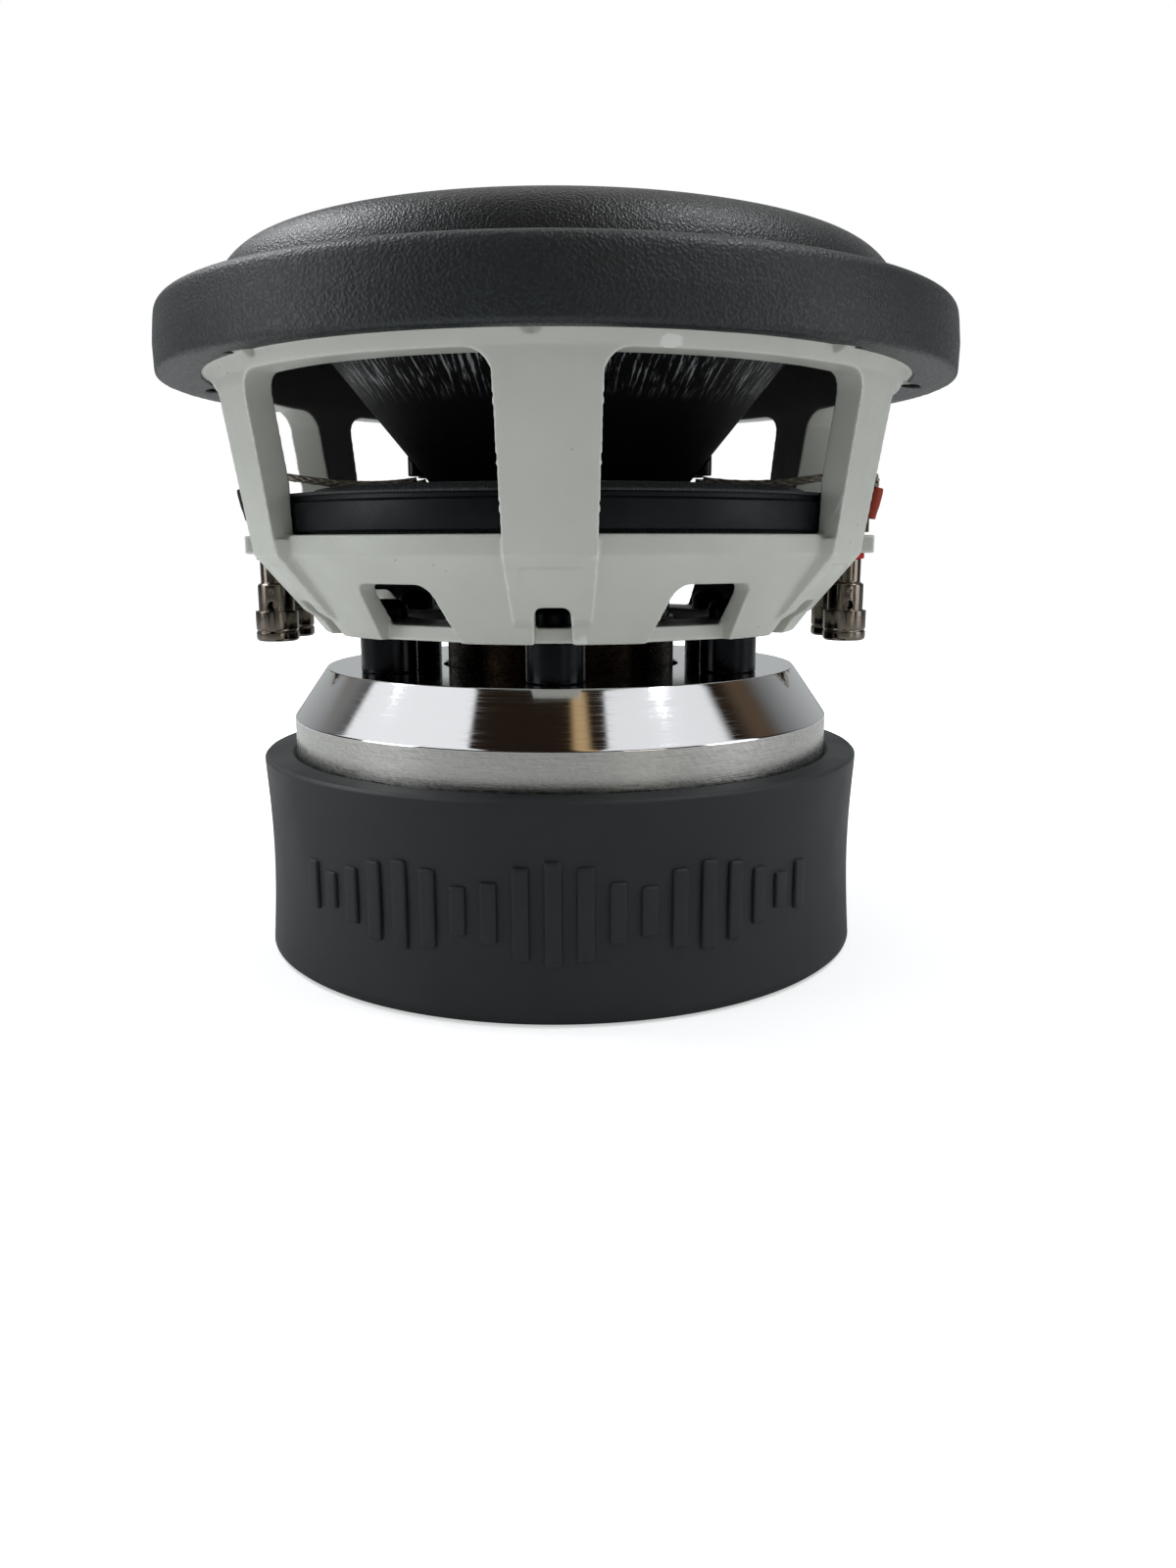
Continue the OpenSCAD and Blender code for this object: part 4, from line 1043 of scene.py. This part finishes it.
class SPEAKER_OT_standoffs(bpy.types.Operator):
    """Turns the six standoffs between plate and basket, and their domed bolts"""

    bl_idname = "speaker.standoffs"
    bl_label = "Standoffs and bolts"

    def execute(self, context):
        low, high = PLATE_HIGH.z, FLOOR_Z
        at = (0.0, -POST_R)
        post = ease([(3.3, low), (7.6, low, 0.5), (7.6, high, 0.5), (3.3, high)], 0.3)
        post = turned("standoff_posts", post, finish("black anodised aluminium"), 64, at)
        settled(repeated(post, 6, TAU / 6), "chassis", "black_anodised", "standoffs")
        seat = high + 3.7
        head = ease([(0, low - 12, 0), (3, low - 12, 0.5), (3, seat, 0.1), (5.4, seat, 0.2),
                     (5.4, seat + 3.2, 0.5), (4.6, seat + 4.6, 0.6), (3, seat + 5.4, 0.3),
                     (2.3, seat + 5.4, 0.2), (2.2, seat + 2.6, 0.1), (0, seat + 2.6, 0)], 0.2)
        bolt = turned("motor_bolt_heads", head, finish("black oxide steel"), 48, at)
        settled(repeated(bolt, 6, TAU / 6), "chassis", "black_steel", "motor_bolts")
        return {"FINISHED"}


class SPEAKER_OT_boot(bpy.types.Operator):
    """Moulds the rubber magnet boot with its lip and its raised level bars"""

    bl_idname = "speaker.boot"
    bl_label = "Magnet boot"

    def execute(self, context):
        height, radius = BOOT_HIGH.z, BOOT_R
        wall = [(self.wall(z), z, 0) for z in [1 + (height - 4) * i / 28 for i in range(29)]]
        outline = [(60, 0, 0.6), (radius - 1.2, 0, 0.5)] + wall
        outline += [(radius - 0.15, height - 0.8, 0.2), (radius - 0.9, height, 0.2),
                    (78.2, height, 0.25), (77, height - 1.2, 0.25),
                    (77, PLATE_LOW.z, 0), (80, PLATE_LOW.z, 0), (80, 16, 0), (77, 16, 0),
                    (77, 5, 0), (76, 4, 0), (60, 4, 0.6)]
        rubber = matt_boot()
        boot = turned("boot_rubber_wall", ease(outline, 0.4), rubber, 256)
        bars = self.bars(context.scene.speaker_sizes.bars, rubber)
        piece = joined("magnet_boot", [boot, bars])
        settled(piece, "chassis", "boot_rubber", "boot")
        return {"FINISHED"}

    def wall(self, z):
        return BOOT_R - 1.3 * math.sin(math.pi * z / BOOT_HIGH.z)

    def bars(self, count, material):
        """Raised bars of uneven heights across the front, each wrapped on the boot's wall."""
        vertices, faces = [], []
        lift, half, middle, corners = 0.9, 2.1, BOOT_HIGH.z / 2, 28
        for i in range(count):
            k = i - (count - 1) / 2
            tall = 9 + 17 * abs(math.cos(math.radians(k * 34))) * math.cos(math.radians(k * 7.5))
            place = math.radians(k * 5.2 - 90)
            rings = []
            # From the root to the crown: how far in from the edge, and how far out of the wall
            for inset, out in ((0, -0.6), (0.0, 0.1), (0.08, lift * 0.62), (0.3, lift * 0.93),
                               (0.6, lift), (1.6, lift)):
                ring = []
                for corner in range(corners):
                    a = TAU * (corner + 0.5) / corners
                    w, h = half - inset, tall / 2 - inset
                    bend = min(0.7, w)
                    u = math.copysign(max(w - bend, 0), math.cos(a)) + bend * math.cos(a)
                    v = math.copysign(max(h - bend, 0), math.sin(a)) + bend * math.sin(a)
                    z = middle + v
                    r = self.wall(z) + out
                    turn = place + u / BOOT_R
                    ring.append((r * math.cos(turn), r * math.sin(turn), z))
                rings.append(ring)
            base = len(vertices)
            for ring in rings:
                vertices += ring
            for level in range(len(rings) - 1):
                for c in range(corners):
                    n = (c + 1) % corners
                    a, b = base + level * corners, base + (level + 1) * corners
                    faces.append((a + c, a + n, b + n, b + c))
            faces.append(tuple(base + (len(rings) - 1) * corners + c for c in range(corners)))
            faces.append(tuple(base + c for c in reversed(range(corners))))
        return solid("boot_bars", vertices, faces, material)


class SPEAKER_OT_terminals(bpy.types.Operator):
    """Makes the four push terminals with their springs, washers, nuts, tags and sleeves"""

    bl_idname = "speaker.terminals"
    bl_label = "Push terminals"

    def execute(self, context):
        nickel = finish("black nickel plated brass")
        barrels = softened("terminal_barrels", "terminal_bodies", nickel, 0.2, 3, 60000)
        settled(barrels, "chassis", "gunmetal", "terminal_bodies")
        for key, (x, y) in TERMINALS.items():
            cap = softened("push_cap_" + key, "cap_" + key, nickel, 0.2, 3, 16000)
            settled(cap, "cap_" + key, "gunmetal", "cap_" + key)
            self.spring(key, x, y)
        self.screws(nickel)
        self.washers()
        nuts = crisp("terminal_hex_nuts", "terminal_nuts", finish("nickel plated brass"), 0.25)
        settled(nuts, "chassis", "nickel", "terminal_nuts")
        tags = crisp("terminal_tags", "solder_lugs", finish("tinned brass"), 0.08)
        settled(tags, "chassis", "tinned_brass", "solder_lugs")
        self.sleeves()
        return {"FINISHED"}

    def spring(self, key, x, y):
        low, high = CAP_Z + 16.85, BAND_Z - 3.25
        steps = 96
        path = [(x + 2.1 * math.cos(TAU * 4 * k / steps), y + 2.1 * math.sin(TAU * 4 * k / steps),
                 low + (high - low) * k / steps) for k in range(steps + 1)]
        spring = gathered("return_spring_" + key, [swept(path, 0.3, 6)], finish("spring steel"))
        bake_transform(spring)
        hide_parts("spring_" + key)

    def screws(self, material):
        """A small grub screw in the front of each barrel."""
        parts = []
        for x, y in TERMINALS.values():
            outline = ease([(0, 0, 0), (0.34, 0, 0.05), (0.42, 0.12, 0.05), (0.62, 0.14, 0.05),
                            (0.86, 0.05, 0.08), (0.86, -0.5, 0), (0, -0.5, 0)], 0.05, 2)
            screw = turned("screw", outline, material, 24)
            lay = Matrix.Translation((x, y - 5.1, BARREL_Z + 7.4)) @ Matrix.Rotation(math.pi / 2, 4, "X")
            parts.append(moved(screw, lay))
        settled(joined("terminal_grub_screws", parts), "chassis", "gunmetal")

    def washers(self):
        low, high = BAND_Z - 1.7, BAND_Z
        ring = ease([(2.2, low), (4.9, low), (4.9, high), (2.2, high)], 0.35)
        cap = ease([(2.2, TAB_Z), (4.5, TAB_Z), (4.5, TAB_Z + 0.8), (2.2, TAB_Z + 0.8)], 0.2)
        for name, keys, node, slot in (("red", ("lf", "rn"), "washers_red", "red_plastic"),
                                       ("black", ("ln", "rf"), "washers_black", "black_washer")):
            plastic = finish("moulded red nylon" if name == "red" else "moulded black insulator")
            rings = [turned("ring", ring, plastic, 64, TERMINALS[key]) for key in keys]
            settled(joined("insulating_washers_" + name, rings), "chassis", slot, node)
        plastic = finish("moulded black insulator")
        caps = [turned("ring", cap, plastic, 64, at) for at in TERMINALS.values()]
        settled(joined("upper_insulating_washers", caps), "chassis", "black_washer", "upper_washers")

    def sleeves(self):
        """Shrunk sleeves, leaning outwards, waisted over the tag and swollen over the lead's end."""
        for name, keys, node in (("red", ("lf", "rn"), "sleeves_red"),
                                 ("black", ("ln", "rf"), "sleeves_black")):
            skin = finish(name + " heat-shrink sleeve")
            parts = []
            for key in keys:
                x, y = TERMINALS[key]
                s = math.copysign(1, x)
                outline = ease([(1.9, 0.2, 0.2), (2.3, 0, 0.3), (2.35, 2.2, 1), (2.55, 3.6, 1),
                                (2.6, 7.6, 1.5), (2.4, 8.8, 0.4), (1.9, 8.7, 0.2)], 0.3)
                sleeve = turned("sleeve", outline, skin, 40)
                lay = (Matrix.Translation((s * TAG_R, y, 119.8))
                       @ Matrix.Rotation(LEAN * s, 4, "Y"))
                parts.append(moved(sleeve, lay))
            settled(joined("shrink_sleeves_" + name, parts), "chassis", name + "_sleeve", node)


class SPEAKER_OT_leads(bpy.types.Operator):
    """Braids the four tinsel leads from their tags over the spiders to the cone"""

    bl_idname = "speaker.leads"
    bl_label = "Tinsel leads"

    def execute(self, context):
        turns = context.scene.speaker_sizes.braid_turns
        tinsel = tinsel_braid()
        for key, (x, y) in TERMINALS.items():
            path = self.path(math.copysign(1, x), y)
            steps = len(path) - 1
            parts = [swept(path, 0.62, 8)]
            for way in (1, -1):
                for k in range(4):
                    def swing(i, way=way, k=k):
                        run = TAU * (turns * i / steps * way + k / 4)
                        return 0.72 + 0.05 * math.cos(8 * run), run
                    parts.append(swept(path, 0.33, 5, swing))
            lead = gathered("tinsel_lead_" + key, parts, tinsel)
            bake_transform(lead)
            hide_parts("lead_" + key)
        return {"FINISHED"}

    def path(self, s, y):
        """The lead's route: up out of the sleeve, over, and down to its drop of glue."""
        lean = math.tan(LEAN)
        low = Vector((s * (TAG_R + 3.4 * lean), y, 123.2))
        a = Vector((s * (TAG_R + 9.3 * lean), y, 129.1))
        angle = math.asin(y / DROP_R * 0.55)
        d = Vector((s * DROP_R * math.cos(angle), DROP_R * math.sin(angle), 130.49))
        b = a + Vector((s * 9 * lean, 0, 9))
        c = d + Vector((s * 29, 0, -4.5))
        points = [low.lerp(a, k / 8) for k in range(8)]
        for k in range(73):
            t = k / 72
            points.append(a * (1 - t) ** 3 + b * 3 * t * (1 - t) ** 2 + c * 3 * t * t * (1 - t) + d * t ** 3)
        return points


class SPEAKER_PT_pieces(bpy.types.Panel):
    """Lists the speaker's pieces, sizes and colours"""

    bl_idname = "SPEAKER_PT_pieces"
    bl_label = "Subwoofer speaker"
    bl_space_type = "VIEW_3D"
    bl_region_type = "UI"
    bl_category = "Subwoofer"

    def draw(self, context):
        for group in (context.scene.speaker_sizes, context.scene.speaker_finish):
            box = self.layout.box()
            for name in group.__annotations__:
                box.prop(group, name)
        for operator in OPERATORS:
            self.layout.operator(operator.bl_idname)


OPERATORS = (SPEAKER_OT_stage, SPEAKER_OT_frame, SPEAKER_OT_trim, SPEAKER_OT_suspension,
             SPEAKER_OT_cone, SPEAKER_OT_motor, SPEAKER_OT_standoffs, SPEAKER_OT_boot,
             SPEAKER_OT_terminals, SPEAKER_OT_leads)
CLASSES = (SpeakerSizes, SpeakerFinish, *OPERATORS, SPEAKER_PT_pieces)


def register():
    for item in CLASSES:
        bpy.utils.register_class(item)
    bpy.types.Scene.speaker_sizes = PointerProperty(type=SpeakerSizes)
    bpy.types.Scene.speaker_finish = PointerProperty(type=SpeakerFinish)


def unregister():
    del bpy.types.Scene.speaker_finish
    del bpy.types.Scene.speaker_sizes
    for item in reversed(CLASSES):
        bpy.utils.unregister_class(item)


def main():
    register()
    for name in ("stage", "frame", "trim", "suspension", "cone", "motor", "standoffs", "boot",
                 "terminals", "leads"):
        getattr(bpy.ops.speaker, name)()


if __name__ == "__main__":
    main()
